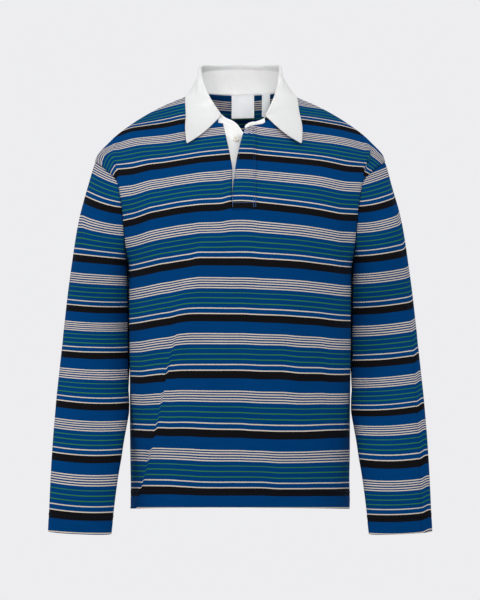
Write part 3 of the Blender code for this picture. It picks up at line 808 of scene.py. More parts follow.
def armhole(side):
    """(around, height) of the armhole seam, evenly spaced from the underarm to the shoulder tip."""
    z = np.linspace(UNDERARM_Z, SHOULDER_TIP_Z, 400)
    around = around_of(reading(ARMHOLE, "x", z), z)
    length = travelled(body_point(around, z, side))
    even = np.linspace(0, length[-1], HOLE_ROWS + 1)
    return np.interp(even, length, around), np.interp(even, length, z)


def side_line(side):
    """(share of the height, around, height) of a panel's side edge: side seam, armhole, shoulder."""
    seam = np.linspace(HEM_SIDE_Z, UNDERARM_Z, SIDE_ROWS + 1)[:-1]
    hole_around, hole_z = armhole(side)
    shoulder = np.linspace(0, 1, SHOULDER_ROWS + 1)[1:]
    tip_x = body_value("half_width", np.array(SHOULDER_TIP_Z))
    shoulder_x = tip_x + (NECK_POINT_X - tip_x) * shoulder
    heights = np.linspace(SHOULDER_TIP_Z, NECK_POINT_Z, 300)
    shoulder_z = np.interp(-shoulder_x, -body_value("half_width", heights), heights)
    z = np.concatenate([seam, hole_z, shoulder_z])
    around = np.concatenate([np.ones(SIDE_ROWS), hole_around, np.ones(SHOULDER_ROWS)])
    low, middle, top = SIDE_LENGTHS
    parts = [np.linspace(0, low, SIDE_ROWS + 1)[:-1]]
    parts += [low + np.linspace(0, middle, HOLE_ROWS + 1), low + middle + top * shoulder]
    return np.concatenate(parts) / sum(SIDE_LENGTHS), around, z


def neckline(across, side):
    """(around, height) of the neck seam, across from -1 to 1. In front it is half an ellipse hung
    from the two neck points, behind it is nearly level."""
    angle = across * pi / 2
    if side == "front":
        z = NECK_FRONT_Z + (NECK_POINT_Z - NECK_FRONT_Z) * (1 - np.cos(angle))
        return around_of(NECK_POINT_X * np.sin(angle), z), z
    return across, NECK_BACK_Z + (NECK_POINT_Z - NECK_BACK_Z) * across**4


print("side edge has", len(side_line("front")[0]), "rows")

# %% [markdown]
# Between its edges a panel's rows run level in the body and bend more and more like the neckline
# higher up. A table says how high each row lies in the middle of the panel.

# %% Panel grids
FRONT_MIDDLE = table("share height", (
    (0.000, HEM_FRONT_Z), (0.452, -0.279), (0.600, -0.189), (0.766, -0.116), (1.000, NECK_FRONT_Z),
))
BACK_MIDDLE = table("share height", (
    (0.000, HEM_BACK_Z), (0.452, -0.285), (0.766, -0.095), (1.000, NECK_BACK_Z),
))
EDGE_STEPS = np.array([0.003, 0.007, 0.012])


def panel(side, across, middle_heights, hem_z):
    """Grid of (around, height) for a panel. Rows sag from the side's height to the middle's, more
    like the neckline as they near it."""
    share, edge_around, edge_z = side_line(side)
    u, v = np.meshgrid(across, share)
    top_around, top_z = neckline(across, side)
    near_top = ease((v - 0.5) / 0.5)
    around = u * edge_around[:, None] + (top_around - across) * near_top
    middle = np.argmin(np.abs(across))
    sag = (top_z - top_z[middle]) / (NECK_POINT_Z - top_z[middle])
    rise = (1 - near_top) * u**2 + near_top * sag
    middle_z = np.where(v == 0, hem_z, reading(middle_heights, "height", v))
    return around, middle_z + (edge_z[:, None] - middle_z) * rise


def held_apart(points, sign):
    """The points kept on their side of the plane through the side seams: behind it where sign is 1
    and in front where it is -1, at least half a seam's gap away."""
    x, y, z = np.moveaxis(points, -1, 0)
    return np.stack([x, sign * np.maximum(sign * y, SEAM_GAP / 2), z], -1)


print("the first columns lie at these shares of the half width from the edge:", EDGE_STEPS)

# %% [markdown]
# ## Soft folds
#
# Worn jersey is never smooth. A long fold with a sharp outer side runs from the hem's right corner up
# to the placket, fainter ones lie down the left front and under the arms, and the whole surface rolls
# by a millimetre or so. Each fold is a bell across a line, and the rolling is a sum of a few slow
# waves. The back has folds of the same kind. A cloth simulation would add others at random and move
# the outline.

# %% Folds
# Each fold: its line as (height, x), its height, and its width on the outer and the inner side, in mm.
FRONT_FOLDS = (
    (
        ((-690, -185), (-676, -169), (-647, -162), (-553, -141))
        + ((-459, -123), (-363, -98), (-269, -70), (-185, -12)),
        *(3.0, 5, 30),
    ),
    (((-640, 175), (-602, 166), (-503, 151), (-396, 134), (-300, 120)), -1.6, 14, 20),
    (((-300, -165), (-240, -172), (-190, -180), (-150, -186)), -1.5, 9, 12),
    (((-300, 168), (-240, 174), (-190, 181), (-150, 186)), -1.8, 9, 10),
)
BACK_FOLDS = (
    (((-690, 150), (-560, 120), (-430, 95), (-300, 60), (-200, 20)), 3.0, 12, 28),
    (((-690, -120), (-560, -105), (-430, -100), (-330, -115)), -2.0, 16, 18),
    (((-320, -160), (-250, -140), (-180, -100)), 2.2, 12, 16),
    (((-320, 160), (-250, 138), (-190, 108)), 2.2, 12, 16),
)
FADE_IN, FADE_OUT = 60, 70
HEM_FOLD_Z, HEM_FOLD_FADE_OUT = -685, 90
WAVE_LENGTHS = (90, 120, 160, 210, 260)
WAVE_HEIGHT = 0.22
TURN_UP = 0.031
STITCH_UP = (0.022, 0.028)
EDGE_FADE = 0.03


def fold_heights(x, z, folds):
    """Sum of the folds at (x, z) in mm: height * bell(distance from its line), faded at both ends. A
    fold that starts at the hem fades at its top only."""
    total = np.zeros_like(x)
    for line, height, outer, inner in folds:
        heights, places = np.array(line, float).T
        away = x - curve(z, heights, places)
        width = np.where(away * np.sign(places[0]) > 0, outer, inner)
        reach = ease((z - heights[0] + FADE_IN / 2) / FADE_IN) * ease((heights[-1] - z) / FADE_OUT)
        if heights[0] < HEM_FOLD_Z:
            reach = ease((heights[-1] - z) / HEM_FOLD_FADE_OUT)
        total += height * bell(away, width) * reach
    return total


def slow_waves(x, z, seed):
    """Rolling of the cloth in mm: waves of WAVE_LENGTHS in seeded directions."""
    pick = np.random.default_rng(seed)
    total = np.zeros_like(x)
    for length in WAVE_LENGTHS:
        turn, start = pick.uniform(0, pi), pick.uniform(0, 2 * pi)
        total += np.sin((x * np.cos(turn) + z * np.sin(turn)) * 2 * pi / length + start)
    return total * WAVE_HEIGHT


def seam_dip(distance, depth=0.0011, width=0.0028):
    """How far cloth sinks towards a seam that lies distance away: depth * exp(-distance / width)."""
    return depth * np.exp(-distance / width)


def turn_up(distance):
    """How far a turned hem stands proud near the edge: a step of half a millimetre at TURN_UP, and a
    dip along the stitches."""
    return 0.0005 * ease((TURN_UP - distance) / 0.005) - 0.0005 * bell(distance - STITCH_UP[0], 0.0030)


def worn(form, x, z, folds, seed):
    """How far a panel's cloth stands off its form, in metres: folds and waves, which fade out within
    EDGE_FADE of the side seams, the dip towards those and the hem. Also the distance from them."""
    girth = arc(form, 1)
    from_seam = np.minimum(girth, girth[:, -1:] - girth)
    offset = (fold_heights(x, z, folds) + slow_waves(x, z, seed)) / 1000
    return offset * ease(from_seam / EDGE_FADE) - seam_dip(from_seam) + turn_up(arc(form, 0)), from_seam


print("folds on the front:", len(FRONT_FOLDS), "and on the back:", len(BACK_FOLDS))

# %% [markdown]
# ## Front
#
# The front's grid leaves a window open for the placket. A placket is sewn into a slit, so the window's
# edges are columns of the grid and its lower end is a row. At the left armhole the drop shoulder's
# turn is pressed into a small valley.

# %% Front form
WINDOW_LOW_Z = -0.189
WINDOW_SEWN = 0.061
WINDOW_LEFT_LOW, WINDOW_LEFT_TOP = -0.0125, -0.0275
WINDOW_RIGHT = 0.0257
WINDOW_SHARES = (-0.065, 0.155)


def window_edges(z):
    """The two upright edges of the placket window at height z: the left one leans open."""
    low = WINDOW_LOW_Z + WINDOW_SEWN
    opened = np.clip((z - low) / (NECK_FRONT_Z - low), 0, 1) ** 1.15
    left = WINDOW_LEFT_LOW + (WINDOW_LEFT_TOP - WINDOW_LEFT_LOW) * opened
    return left, np.full_like(z, WINDOW_RIGHT)


def front_grid():
    """The front's form, and the mask of the placket window. Two columns are moved onto the window's
    edges, and the others follow less the further off they are."""
    first, second = WINDOW_SHARES
    left = [[-1], -1 + EDGE_STEPS, np.linspace(-0.985, first, 66)]
    right = [np.linspace(second, 0.72, 34), np.linspace(0.72, 0.985, 28)[1:], 1 - EDGE_STEPS[::-1], [1]]
    across = np.concatenate([*left, np.linspace(first, second, 16)[1:-1], *right])
    around, z = panel("front", across, FRONT_MIDDLE, HEM_FRONT_Z)
    columns = [int(np.argmin(abs(across - u))) for u in WINDOW_SHARES]
    wanted = [around_of(edge[:, c], z[:, c]) for edge, c in zip(window_edges(z), columns)]
    shift = [(want - around[:, c])[:, None] for want, c in zip(wanted, columns)]
    pull = np.clip((across + 1) / (first + 1), 0, 1), np.clip((1 - across) / (1 - second), 0, 1)
    inner = np.clip((across - first) / (second - first), 0, 1)
    around = around + shift[0] * pull[0] * (1 - inner) + shift[1] * pull[1] * inner
    low_row = int(np.argmin(abs(z[:, columns[0]] - WINDOW_LOW_Z)))
    hole = np.zeros((len(z) - 1, len(across) - 1), bool)
    hole[low_row:, columns[0] : columns[1]] = True
    return held_apart(body_point(around, z, "front"), -1), hole


front_form, front_hole = front_grid()
print("cells left out for the placket:", front_hole.sum())

# %% [markdown]
# The form becomes cloth when the folds are laid on it along its normals. The stripes are counted on
# the smooth form, so they bend with every fold.

# %% Front
FRONT_SEED = 3
LEFT_VALLEY = 0.0050
VALLEY_LOW, VALLEY_TOP = -156, -82


def panel_cloth(name, form, offset, count, sign, **shape):
    """A panel's piece: its form moved along its normals by offset. Gives back the points."""
    points = held_apart(form + facing(form) * offset[..., None], sign)
    girth = arc(form, 1)
    maps = (girth - girth[:, -1:] / 2, count * REPEAT)
    cloth(name, points, striped, name + "_panel", maps, form, **shape)
    return points


x, z = seen(front_form)
offset, from_seam = worn(front_form, x, z, FRONT_FOLDS, FRONT_SEED)
past = x - reading(LEFT_TURN, "x", z)
valley = ease((past + 1.2) / 2.4) * np.exp(-np.maximum(past, 0) / 7)
valley = valley * ease((z - VALLEY_LOW) / 14) * ease((VALLEY_TOP - z) / 10)
offset = offset - LEFT_VALLEY * valley * ease(from_seam / 0.006)
front_points = panel_cloth("front", front_form, offset, front_count(front_form), -1, hole=front_hole)

# %% [markdown]
# ## Back
#
# The back is the same kind of panel, without a window. Its stripes meet the front's at the side
# seams, and down its middle they are spaced by the cloth's own length, because the knit has the same
# repeat everywhere.

# %% Back
BACK_SEED = 8
BACK_HEM_COUNT, BACK_REPEATS = 8.335, 8.145


def back_count(form, around):
    """The back's stripe count: by cloth length down the middle, as on the front at the sides."""
    middle_z = np.linspace(HEM_BACK_Z, NECK_BACK_Z, 300)
    length = travelled(body_point(np.zeros(300), middle_z, "back"))
    down = BACK_HEM_COUNT - length / length[-1] * BACK_REPEATS
    centre = np.interp(form[..., 2], middle_z, down)
    side = front_count(form * np.array([1, 0, 1]))
    return centre + (side - centre) * ease(np.abs(around))


back_across = [[1], 1 - EDGE_STEPS, np.linspace(0.985, -0.985, 142), EDGE_STEPS[::-1] - 1, [-1]]
back_around, back_z = panel("back", np.concatenate(back_across), BACK_MIDDLE, HEM_BACK_Z)
back_form = held_apart(body_point(back_around, back_z, "back"), 1)
offset, _ = worn(back_form, back_form[..., 0] * 1000, back_form[..., 2] * 1000, BACK_FOLDS, BACK_SEED)
back_points = panel_cloth("back", back_form, offset, back_count(back_form, back_around), 1)

# %% [markdown]
# ## Sleeves
#
# A sleeve is a tube that starts on the armhole and narrows to the cuff, bending forward at the elbow.
# It is a run of tilted rings, each a superellipse set by its outer and inner points and by how far it
# reaches forward and back. Where it would lie in the body's side it is pressed out, just clear of it.

# %% Sleeve form
SLEEVE = table("outer_x outer_z inner_x inner_z front back", (
    (0.2620, -0.193, 0.180, -0.303, -0.075, 0.062), (0.2785, -0.285, 0.176, -0.348, -0.062, 0.071),
    (0.2865, -0.338, 0.174, -0.384, -0.045, 0.074), (0.2935, -0.417, 0.175, -0.440, -0.056, 0.048),
    (0.2980, -0.494, 0.1785, -0.506, -0.087, -0.001), (0.3010, -0.569, 0.1886, -0.575, -0.114, -0.046),
    (0.3030, -0.644, 0.1983, -0.648, -0.131, -0.076), (0.3050, -0.7045, 0.2050, -0.709, -0.132, -0.085),
))
SLEEVE_ROWS = 236
SLEEVE_CLEARANCE = 0.0026
SLEEVE_EXPONENT = 2.35


def sleeve_rings():
    """Rings of the sleeve on +X. Each runs from the shoulder tip forward to the underarm and back up
    behind. The first is the armhole, the others are superellipses."""
    ahead = np.flip(body_point(*armhole("front"), "front"), 0)
    behind = body_point(*armhole("back"), "back")
    first = np.concatenate([ahead, behind[1:]])
    turn = np.linspace(0, 2 * pi, len(first))
    wave = np.array([np.cos(turn), np.sin(turn)])
    along, across = np.sign(wave) * np.abs(wave) ** (2 / SLEEVE_EXPONENT)
    rings = [first]
    for outer_x, outer_z, inner_x, inner_z, front, back in zip(*SLEEVE.values()):
        x = (outer_x + inner_x) / 2 + (outer_x - inner_x) / 2 * along
        z = (outer_z + inner_z) / 2 + (outer_z - inner_z) / 2 * along
        y = (front + back) / 2 + (front - back) / 2 * across
        rings.append(np.stack([x, y, z], -1))
    return np.array(rings)


def sleeve_form():
    """The rings joined smoothly down the sleeve, relaxed, and pressed clear of the body's side."""
    rings = sleeve_rings()
    rings[0] = off_the_body(rings[0] + SEAM_GAP * unit(rings[1] - rings[0]), 0.0004)
    steps = np.linalg.norm(np.diff(rings, axis=0), axis=2).mean(1)
    knots = np.concatenate([[0], np.cumsum(steps)]) / steps.sum()
    shares = np.linspace(0, 1, SLEEVE_ROWS + 1)
    columns = [[curve(shares, knots, rings[:, i, k]) for k in range(3)] for i in range(rings.shape[1])]
    points = relaxed(np.moveaxis(np.array(columns), 2, 0), 40)
    level = np.minimum(points[1:, :, 2], UNDERARM_Z)
    clear = body_side(points[1:, :, 1], level) + JERSEY + SLEEVE_CLEARANCE
    points[1:, :, 0] = np.maximum(points[1:, :, 0], clear)
    points[:, -1] = points[:, 0]
    return points


left_form = sleeve_form()
print("sleeve rings:", len(left_form), "of", left_form.shape[1] - 1, "points")

# %% [markdown]
# Sleeves crease where the elbow bends and roll a little elsewhere. The left one is also pressed into a
# sharp crease down its outer edge.

# %% Sleeves
# Each fold: share of the length, turn in degrees from the outer edge, height in mm, length along the
# sleeve as a share, and reach round it in degrees.
SLEEVE_FOLDS = (
    (0.40, 110, -1.5, 0.016, 55), (0.46, 95, -1.8, 0.014, 65), (0.52, 120, -1.2, 0.016, 50),
    (0.30, 250, 1.2, 0.030, 50), (0.63, 60, 0.9, 0.030, 40), (0.80, 230, 1.0, 0.035, 60),
)
CREASE_DEPTH, CREASE_REACH, CREASE_TOP = 0.0019, 1.9, -125


def sleeve_folds(shape):
    """The sleeve's folds, in metres: each a bell along the sleeve times a bell round it."""
    share, turn = np.meshgrid(np.linspace(0, 1, shape[0]), np.linspace(0, 360, shape[1]), indexing="ij")
    total = np.zeros(shape)
    for place, at, height, length, reach in SLEEVE_FOLDS:
        round_ = (turn - at + 180) % 360 - 180
        drift = 0.03 * np.sin(np.radians(round_ * 1.3))
        total += height * bell(share - place - drift, length) * bell(round_, reach)
    return total / 1000


def sleeve(node_name, sign, bands):
    """One sleeve: the form, mirrored for the wearer's right, with stripes counted on its front half
    and carried straight across to the back half."""
    form = left_form * np.array([sign, 1, 1])
    count = sleeve_count(form, bands)
    half = (form.shape[1] - 1) // 2
    count[:, half:] = count[:, half::-1]
    girth, length = arc(form, 1), arc(form, 0)
    offset = sleeve_folds(form.shape[:2]) - seam_dip(length) + turn_up(length[-1:] - length)
    if sign > 0:
        x, z = seen(form)
        crease = CREASE_DEPTH * bell(past_crease(x, z), CREASE_REACH) * ease((CREASE_TOP - z) / 30)
        offset = offset - crease * (np.arange(form.shape[1]) < half)
    points = form + sign * facing(form) * offset[..., None]
    points[:, -1] = points[:, 0]
    maps = (girth - girth[:, half : half + 1], count * REPEAT)
    if sign < 0:
        points, maps = points[:, ::-1], [m[:, ::-1] for m in maps]
    cloth(node_name + "_cloth", points, striped, node_name, maps, form, outward=-1.0, closed=True)
    return points


right_points = sleeve("sleeve_right", -1, RIGHT_BANDS)
left_points = sleeve("sleeve_left", 1, LEFT_BANDS)

# %% [markdown]
# ## Placket
#
# The opening of the shirt is two strips sewn into a window in the front. The lower one is white twill
# and shows in the open V. The upper one is striped jersey, doubled over, and laps on top of it. Both
# are laid on the front's own form, moved a little out of it or into it, so they follow the chest.

# %% Strips
STRIP_RIGHT = 0.0255
STRIP_OPEN_X = 0.0190
STRIP_SEWN = 0.007
STRIP_LIFT = 0.012
STRIP_TOP_Z = -0.0715
UNDER_TUCK, UNDER_DIP, UNDER_NARROW = 0.008, 0.006, 0.0197
GATHER_HEIGHT = 0.0007


def front_surface(x, z, lift):
    """Points on the front's form at width x and height z, moved out of it by lift."""
    step = 0.001
    here = body_point(around_of(x, z), z, "front")
    aside = body_point(around_of(x + step, z), z, "front")
    above = body_point(around_of(x, z + step), z + step, "front")
    return here + unit(np.cross(aside - here, above - here)) * np.asarray(lift)[..., None]


def strip_edge(z):
    """How far the strip is open at height z, from 0 to 1, and the width at which its free edge is."""
    low = WINDOW_LOW_Z + STRIP_SEWN
    opened = np.clip((z - low) / (STRIP_TOP_Z - low), 0, 1)
    return opened, WINDOW_LEFT_LOW + STRIP_OPEN_X * opened**1.7


def gathered(a, z):
    """How much the strip is gathered: 1 near the top of its free half, 0 away from there."""
    return bell(a - 0.30, 0.38) * bell(z + 0.068, 0.011)


def upper_strip(a, z, above=0.0):
    """The striped strip's form, a from its free edge (0) to its seam (1). It lies on the front at the
    bottom and sinks flush with it at the seam, and its free edge lifts and draws over towards the
    top. above moves points out of it."""
    opened, free_x = strip_edge(z)
    roll = np.sin(pi / 2 * np.clip(1 - a, 0, 1)) ** 1.4
    flush = ease((z - WINDOW_LOW_Z - 0.001) / 0.006) * ease((a - 0.80) / 0.20)
    lift = (JERSEY + 2 * SEAM_GAP) * (1 - flush) + STRIP_LIFT * ease(opened) * roll
    lift = lift + GATHER_HEIGHT * gathered(a, z) * np.sin(a * 21 + (z + 0.06) * 260)
    return front_surface(free_x + (STRIP_RIGHT - free_x) * a, z, lift + above)


def on_strip(x, z, above):
    """Points on the striped strip's outer face, at width x and height z."""
    free_x = strip_edge(z)[1]
    return upper_strip((x - free_x) / (STRIP_RIGHT - free_x), z, JERSEY + above)


def under_strip(a, z, above=0.0):
    """The white strip's form, a from its seam on the left (0) to its free edge (1): just behind the
    front, its free edge dipping inside and drawn back towards the top."""
    opened = ease((z - WINDOW_LOW_Z) / (NECK_FRONT_Z - WINDOW_LOW_Z))
    left, right = window_edges(z)
    left = left - UNDER_TUCK
    right = right - UNDER_NARROW * opened
    dip = UNDER_DIP * opened * np.clip(a, 0, 1) ** 1.5
    return front_surface(left + (right - left) * a, z, above - TWILL - 3 * SEAM_GAP - dip)


gap = on_strip(np.array(0.0), np.array(-0.1), 0.0) - under_strip(np.array(0.5), np.array(-0.1))
print("the striped strip's face stands", round(1000 * abs(float(gap[1])), 1), "mm before the white one")

# %% [markdown]
# Each strip is a grid from its lower end up to its neck edge, whose height changes across it. The end
# of the neck band lies on the striped strip as a small roll of twill.

# %% Placket
STRIP_END = 0.0055
GATHER_COUNT = 0.03
BAND_LIFT, BAND_ROLL = 0.0015, 0.0013
STRIP_TOP = table("across height", (
    (0.00, -0.0715), (0.10, -0.0675), (0.20, -0.0648), (0.40, -0.0610), (0.70, -0.0570), (1.00, -0.0530),
))
UNDER_TOP = table("across height", (
    (0.00, -0.0335), (0.10, -0.0362), (0.29, -0.0425), (0.57, -0.0472), (0.76, -0.0529), (0.89, -0.0606),
    (1.00, -0.0666),
))
BAND = table("across low top", (
    (0.05, -0.0703, -0.0688), (0.16, -0.0684, -0.0645), (0.35, -0.0650, -0.0602),
    (0.60, -0.0612, -0.0560), (1.00, -0.0554, -0.0514), (1.50, -0.0536, -0.0474),
    (1.72, -0.0512, -0.0450),
))


def strip_grid(columns, top):
    """(a, z) over a strip of so many columns, up to its neck edge top, a table of heights."""
    low = WINDOW_LOW_Z - STRIP_END
    a, b = np.meshgrid(np.linspace(0, 1, columns), np.linspace(0, 1, 110))
    return a, low + (reading(top, "height", a) - low) * b


a, z = strip_grid(34, STRIP_TOP)
upper_points = upper_strip(a, z)
upper_stripes = front_count(upper_points) + GATHER_COUNT * gathered(a, z) * np.sin(a * 17 + 1)
upper_maps = (arc(upper_points, 1), upper_stripes * REPEAT)
cloth("placket_upper_cloth", upper_points, striped, "placket_upper", upper_maps)

a, z = strip_grid(40, UNDER_TOP)
below = reading(UNDER_TOP, "height", a) - z
groove = 0.0011 * bell(below - 0.0065, 0.0014) * ease((0.97 - a) / 0.2)
under_points = under_strip(a, z, 0.0004 * ease((0.006 - below) / 0.002) - groove)
cloth("placket_under_cloth", under_points, placket_white, "placket_under")

a, b = np.meshgrid(np.linspace(BAND["across"][0], BAND["across"][-1], 44), np.linspace(0, 1, 14))
low, high = (reading(BAND, name, a) for name in ("low", "top"))
roll = BAND_ROLL * np.sin(pi * b) ** 0.7 + 0.0005 * bell(a - 0.3, 0.3) * np.sin(a * 34 + b * 3)
band_points = upper_strip(a, low + (high - low) * b, BAND_LIFT + roll)
cloth("neck_band_cloth", band_points, placket_white, "neck_band")

# %% [markdown]
# ## Collar
#
# The collar is one folded strip of twill. It stands up from the neck seam, turns over a small round
# fold and falls as a leaf with long rounded points. Three lines carry it, neck seam, fold and free
# edge, each given at stations from the centre back to the front end. Where the leaf would sink into
# the shoulders it is laid on them.

# %% Collar lines
COLLAR = table("neck fold_x fold_y fold_z edge_x edge_y edge_z", (
    (0.00, 0.0000, 0.0700, 0.0578, 0.0000, 0.0980, 0.0040),
    (0.30, 0.0270, 0.0660, 0.0565, 0.0370, 0.0930, 0.0040),
    (0.62, 0.0520, 0.0460, 0.0540, 0.0690, 0.0680, 0.0030),
    (0.86, 0.0640, 0.0200, 0.0510, 0.0862, 0.0300, 0.0010),
    (1.00, 0.0662, -0.0020, 0.0445, 0.0897, -0.0010, -0.0010),
    (1.18, 0.0632, -0.0200, 0.0200, 0.0893, -0.0300, -0.0180),
    (1.36, 0.0553, -0.0400, -0.0040, 0.0921, -0.0500, -0.0380),
    (1.52, 0.0455, -0.0560, -0.0240, 0.0945, -0.0670, -0.0610),
    (1.64, 0.0362, -0.0655, -0.0395, 0.0925, -0.0830, -0.0871),
))
COLLAR_COLUMNS = 240
FOLD_SHIFT, EDGE_SHIFT = 0.0050, 0.0065


def collar_lines():
    """The neck seam, the fold and the leaf's free edge, from the wearer's right front end round the
    back to the left one."""
    stations = np.linspace(0, 1, len(COLLAR["neck"]))
    way = np.linspace(-1, 1, COLLAR_COLUMNS + 1)
    at, side = np.abs(way), np.sign(way)
    neck = curve(at, stations, COLLAR["neck"])
    behind = body_point(*neckline(np.clip(neck, 0, 1), "back"), "back")
    ahead = body_point(*neckline(np.clip(2 - neck, 0, 1), "front"), "front")
    lines = [np.where((neck < 1)[:, None], behind, ahead)]
    for line in ("fold", "edge"):
        lines.append(np.stack([curve(at, stations, COLLAR[f"{line}_{k}"]) for k in "xyz"], -1))
    for points in lines:
        points[:, 0] = points[:, 0] * side
    lines[1][:, 0] += FOLD_SHIFT * ease((at - 0.5) / 0.5)
    lines[2][:, 0] += EDGE_SHIFT * ease((at - 0.3) / 0.7)
    return [relaxed(points, 12) for points in lines], way


print("the collar's fold is", round(1000 * travelled(collar_lines()[0][1])[-1]), "mm long")

# %% [markdown]
# Rows are then stacked from the neck seam to the free edge: straight up the stand, round the fold on
# a small arc, and down the leaf with a little crown, as twill has when it is pressed.

# %% Collar
FOLD_RADIUS = 0.0022
LEAF_GAP = 0.0010
STAND_LIFT, STAND_BOW, END_BOW = 0.0008, 0.0012, 0.0042
LEAF_CROWN, SIDE_CROWN = 0.0030, 0.0035
POINT_ROUND = 0.0065
STAND_ROWS, FOLD_ROWS, LEAF_ROWS = 16, 9, 26


def collar_grid():
    """Rows from the neck seam up the stand, round the fold and down the leaf. Its front ends bow out
    by a sine, and its last rows shorten there by a quarter circle, which rounds each point."""
    (seam, fold, edge), way = collar_lines()
    along = np.gradient(fold, axis=0)
    out = unit(np.stack([along[:, 1], -along[:, 0], np.zeros(len(fold))], -1))
    up = np.array([0, 0, 1.0])
    seam = seam + up * STAND_LIFT
    rows = []
    for share in np.linspace(0, 0.96, STAND_ROWS):
        bow = STAND_BOW * np.sin(pi * share)
        rows.append(seam + (fold - seam) * share - out * (FOLD_RADIUS * share + bow))
    for angle in np.radians(np.linspace(160, 20, FOLD_ROWS)):
        rows.append(fold + FOLD_RADIUS * (out * np.cos(angle) + up * np.sin(angle)))
    start = fold + out * FOLD_RADIUS
    depth = np.linalg.norm(edge - start, axis=1)[:, None]
    length = np.linalg.norm(np.gradient(edge, axis=0), axis=1)
    from_end = np.minimum(np.cumsum(length), np.cumsum(length[::-1])[::-1])[:, None]
    turn = np.clip(1 - from_end / POINT_ROUND, 0, 1)
    reach = 1 - POINT_ROUND / depth * (1 - np.sqrt(1 - turn**2))
    near_end = (ease((np.abs(way) - 0.8) / 0.2) * np.sign(way))[:, None]
    height = (LEAF_CROWN + SIDE_CROWN * bell(np.abs(way) - 0.5, 0.17))[:, None]
    for share in np.linspace(0, 1, LEAF_ROWS)[1:]:
        crown = unit(out + up) * height * np.sin(pi * share)
        leaf = start + (edge - start) * share * reach
        leaf += END_BOW * np.sin(pi * share**1.3) * near_end * unit(np.gradient(leaf, axis=0)) + crown
        rows.append(off_the_body(leaf, JERSEY + LEAF_GAP))
    points = np.array(rows)
    even = np.swapaxes(relaxed(np.swapaxes(points, 0, 1), 60), 0, 1)
    past_stand = ease((np.arange(len(points)) - STAND_ROWS) / FOLD_ROWS)
    away_from_ends = ease((0.86 - np.abs(way)) / 0.2)
    return points + (even - points) * np.outer(past_stand, away_from_ends)[..., None]


collar_points = collar_grid()
cloth("collar_cloth", collar_points, collar_white, "collar")

# %% [markdown]
# ## Labels
#
# Two woven labels hang from the back neck seam: a square one in the middle and a narrow one beside
# it. Both are left bare. Each is a small sheet with a slow curl.

# %% Labels


def label(node_name, x, width, top, bottom, lean):
    """A label between two (depth, height) ends: straight down, curled back by a sine, leaning."""
    a, b = np.meshgrid(np.linspace(-0.5, 0.5, 24), np.linspace(0, 1, 26))
    curl = 0.0007 * np.sin(pi * b) * np.cos(pi * a) - 0.0006 * np.sin(pi * b)
    y = bottom[0] + (top[0] - bottom[0]) * b - curl
    z = bottom[1] + (top[1] - bottom[1]) * b + lean * a
    points = np.stack([x + width * a, y, z], -1)
    cloth(node_name + "_cloth", points, woven, node_name, (points[..., 0], (bottom[1] - top[1]) * b))


label("label_main", 0.0045, 0.038, (0.0582, 0.0068), (0.0657, -0.0312), 0.0010)
label("label_care", 0.0432, 0.0135, (0.0395, 0.0068), (0.0514, -0.0300), -0.0006)

# %% [markdown]
# ## Stitches
#
# A seam is held by hundreds of short stitches. Each could be an array modifier on a curve, but then
# they would slide off the cloth, so every stitch is placed on the cloth's own grid: a line is drawn on
# the surface, cut into even steps, and each step becomes one small capsule of thread, 20 vertices
# and 36 triangles, all of them computed as one array.

# %% Stitch tools
STITCH_PITCH, STITCH_LENGTH, THREAD = 0.0031, 0.0024, 0.00032
SUNK = 0.3
RING_AT = np.array([0.12, 0.50, 0.88])
RING_WIDE = np.array([0.80, 1.00, 0.80])
SIDES = 6
CORNERS = 2 + SIDES * len(RING_AT)


def capsule_faces():
    """Triangles of a capsule: a pole, vertex 0, rings of SIDES vertices from 1 on, and a last pole."""
    after = np.arange(SIDES)
    k = (after + 1) % SIDES
    end = CORNERS - 1
    faces = [np.stack([np.zeros(SIDES, int), 1 + after, 1 + k], -1)]
    for ring in range(1, end - SIDES, SIDES):
        a, b, c, d = ring + k, ring + after, ring + SIDES + after, ring + SIDES + k
        faces += [np.stack([a, b, c], -1), np.stack([a, c, d], -1)]
    faces.append(np.stack([np.full(SIDES, end), end - SIDES + k, end - SIDES + after], -1))
    return np.concatenate(faces)


def stitches(name, kind, starts, ends, ups, radius=THREAD):
    """One piece of many stitches in that kind of thread. On each the rings lie at RING_AT of the way
    from start to end, RING_WIDE times the thread's radius wide, and half a radius higher midway."""
    way = ends - starts
    side = unit(np.cross(way, ups))
    lift = unit(np.cross(side, way))
    turn = np.arange(SIDES) * pi / (SIDES / 2)
    around = np.cos(turn)[:, None] * side[:, None] + np.sin(turn)[:, None] * lift[:, None]
    middle = starts[:, None] + way[:, None] * RING_AT[:, None]
    middle = middle + lift[:, None] * (radius / 2 * np.sin(pi * RING_AT))[:, None]
    rings = middle[:, :, None] + radius * RING_WIDE[:, None, None] * around[:, None]
    rings = rings.reshape(len(starts), CORNERS - 2, 3)
    points = np.concatenate([starts[:, None], rings, ends[:, None]], 1)
    faces = capsule_faces() + CORNERS * np.arange(len(starts))[:, None, None]
    mesh = bpy.data.meshes.new(name)
    mesh.from_pydata(points.reshape(-1, 3), [], faces.reshape(-1, 3))
    mesh.shade_smooth()
    print(f"{name}: {len(starts)} stitches")
    piece_of(name, mesh, *thread[kind])


def run(line, ups):
    """Starts, ends and upward directions of the stitches along a line of points."""
    way = travelled(line)
    at = np.arange(STITCH_PITCH - STITCH_LENGTH, way[-1] - STITCH_LENGTH, STITCH_PITCH)

    def pick(values, where):
        return np.stack([np.interp(where, way, values[:, k]) for k in range(3)], -1)

    return pick(line, at), pick(line, at + STITCH_LENGTH), pick(ups, at)


def joined(runs):
    """Several runs of stitches as one."""
    return [np.concatenate(parts) for parts in zip(*runs)]


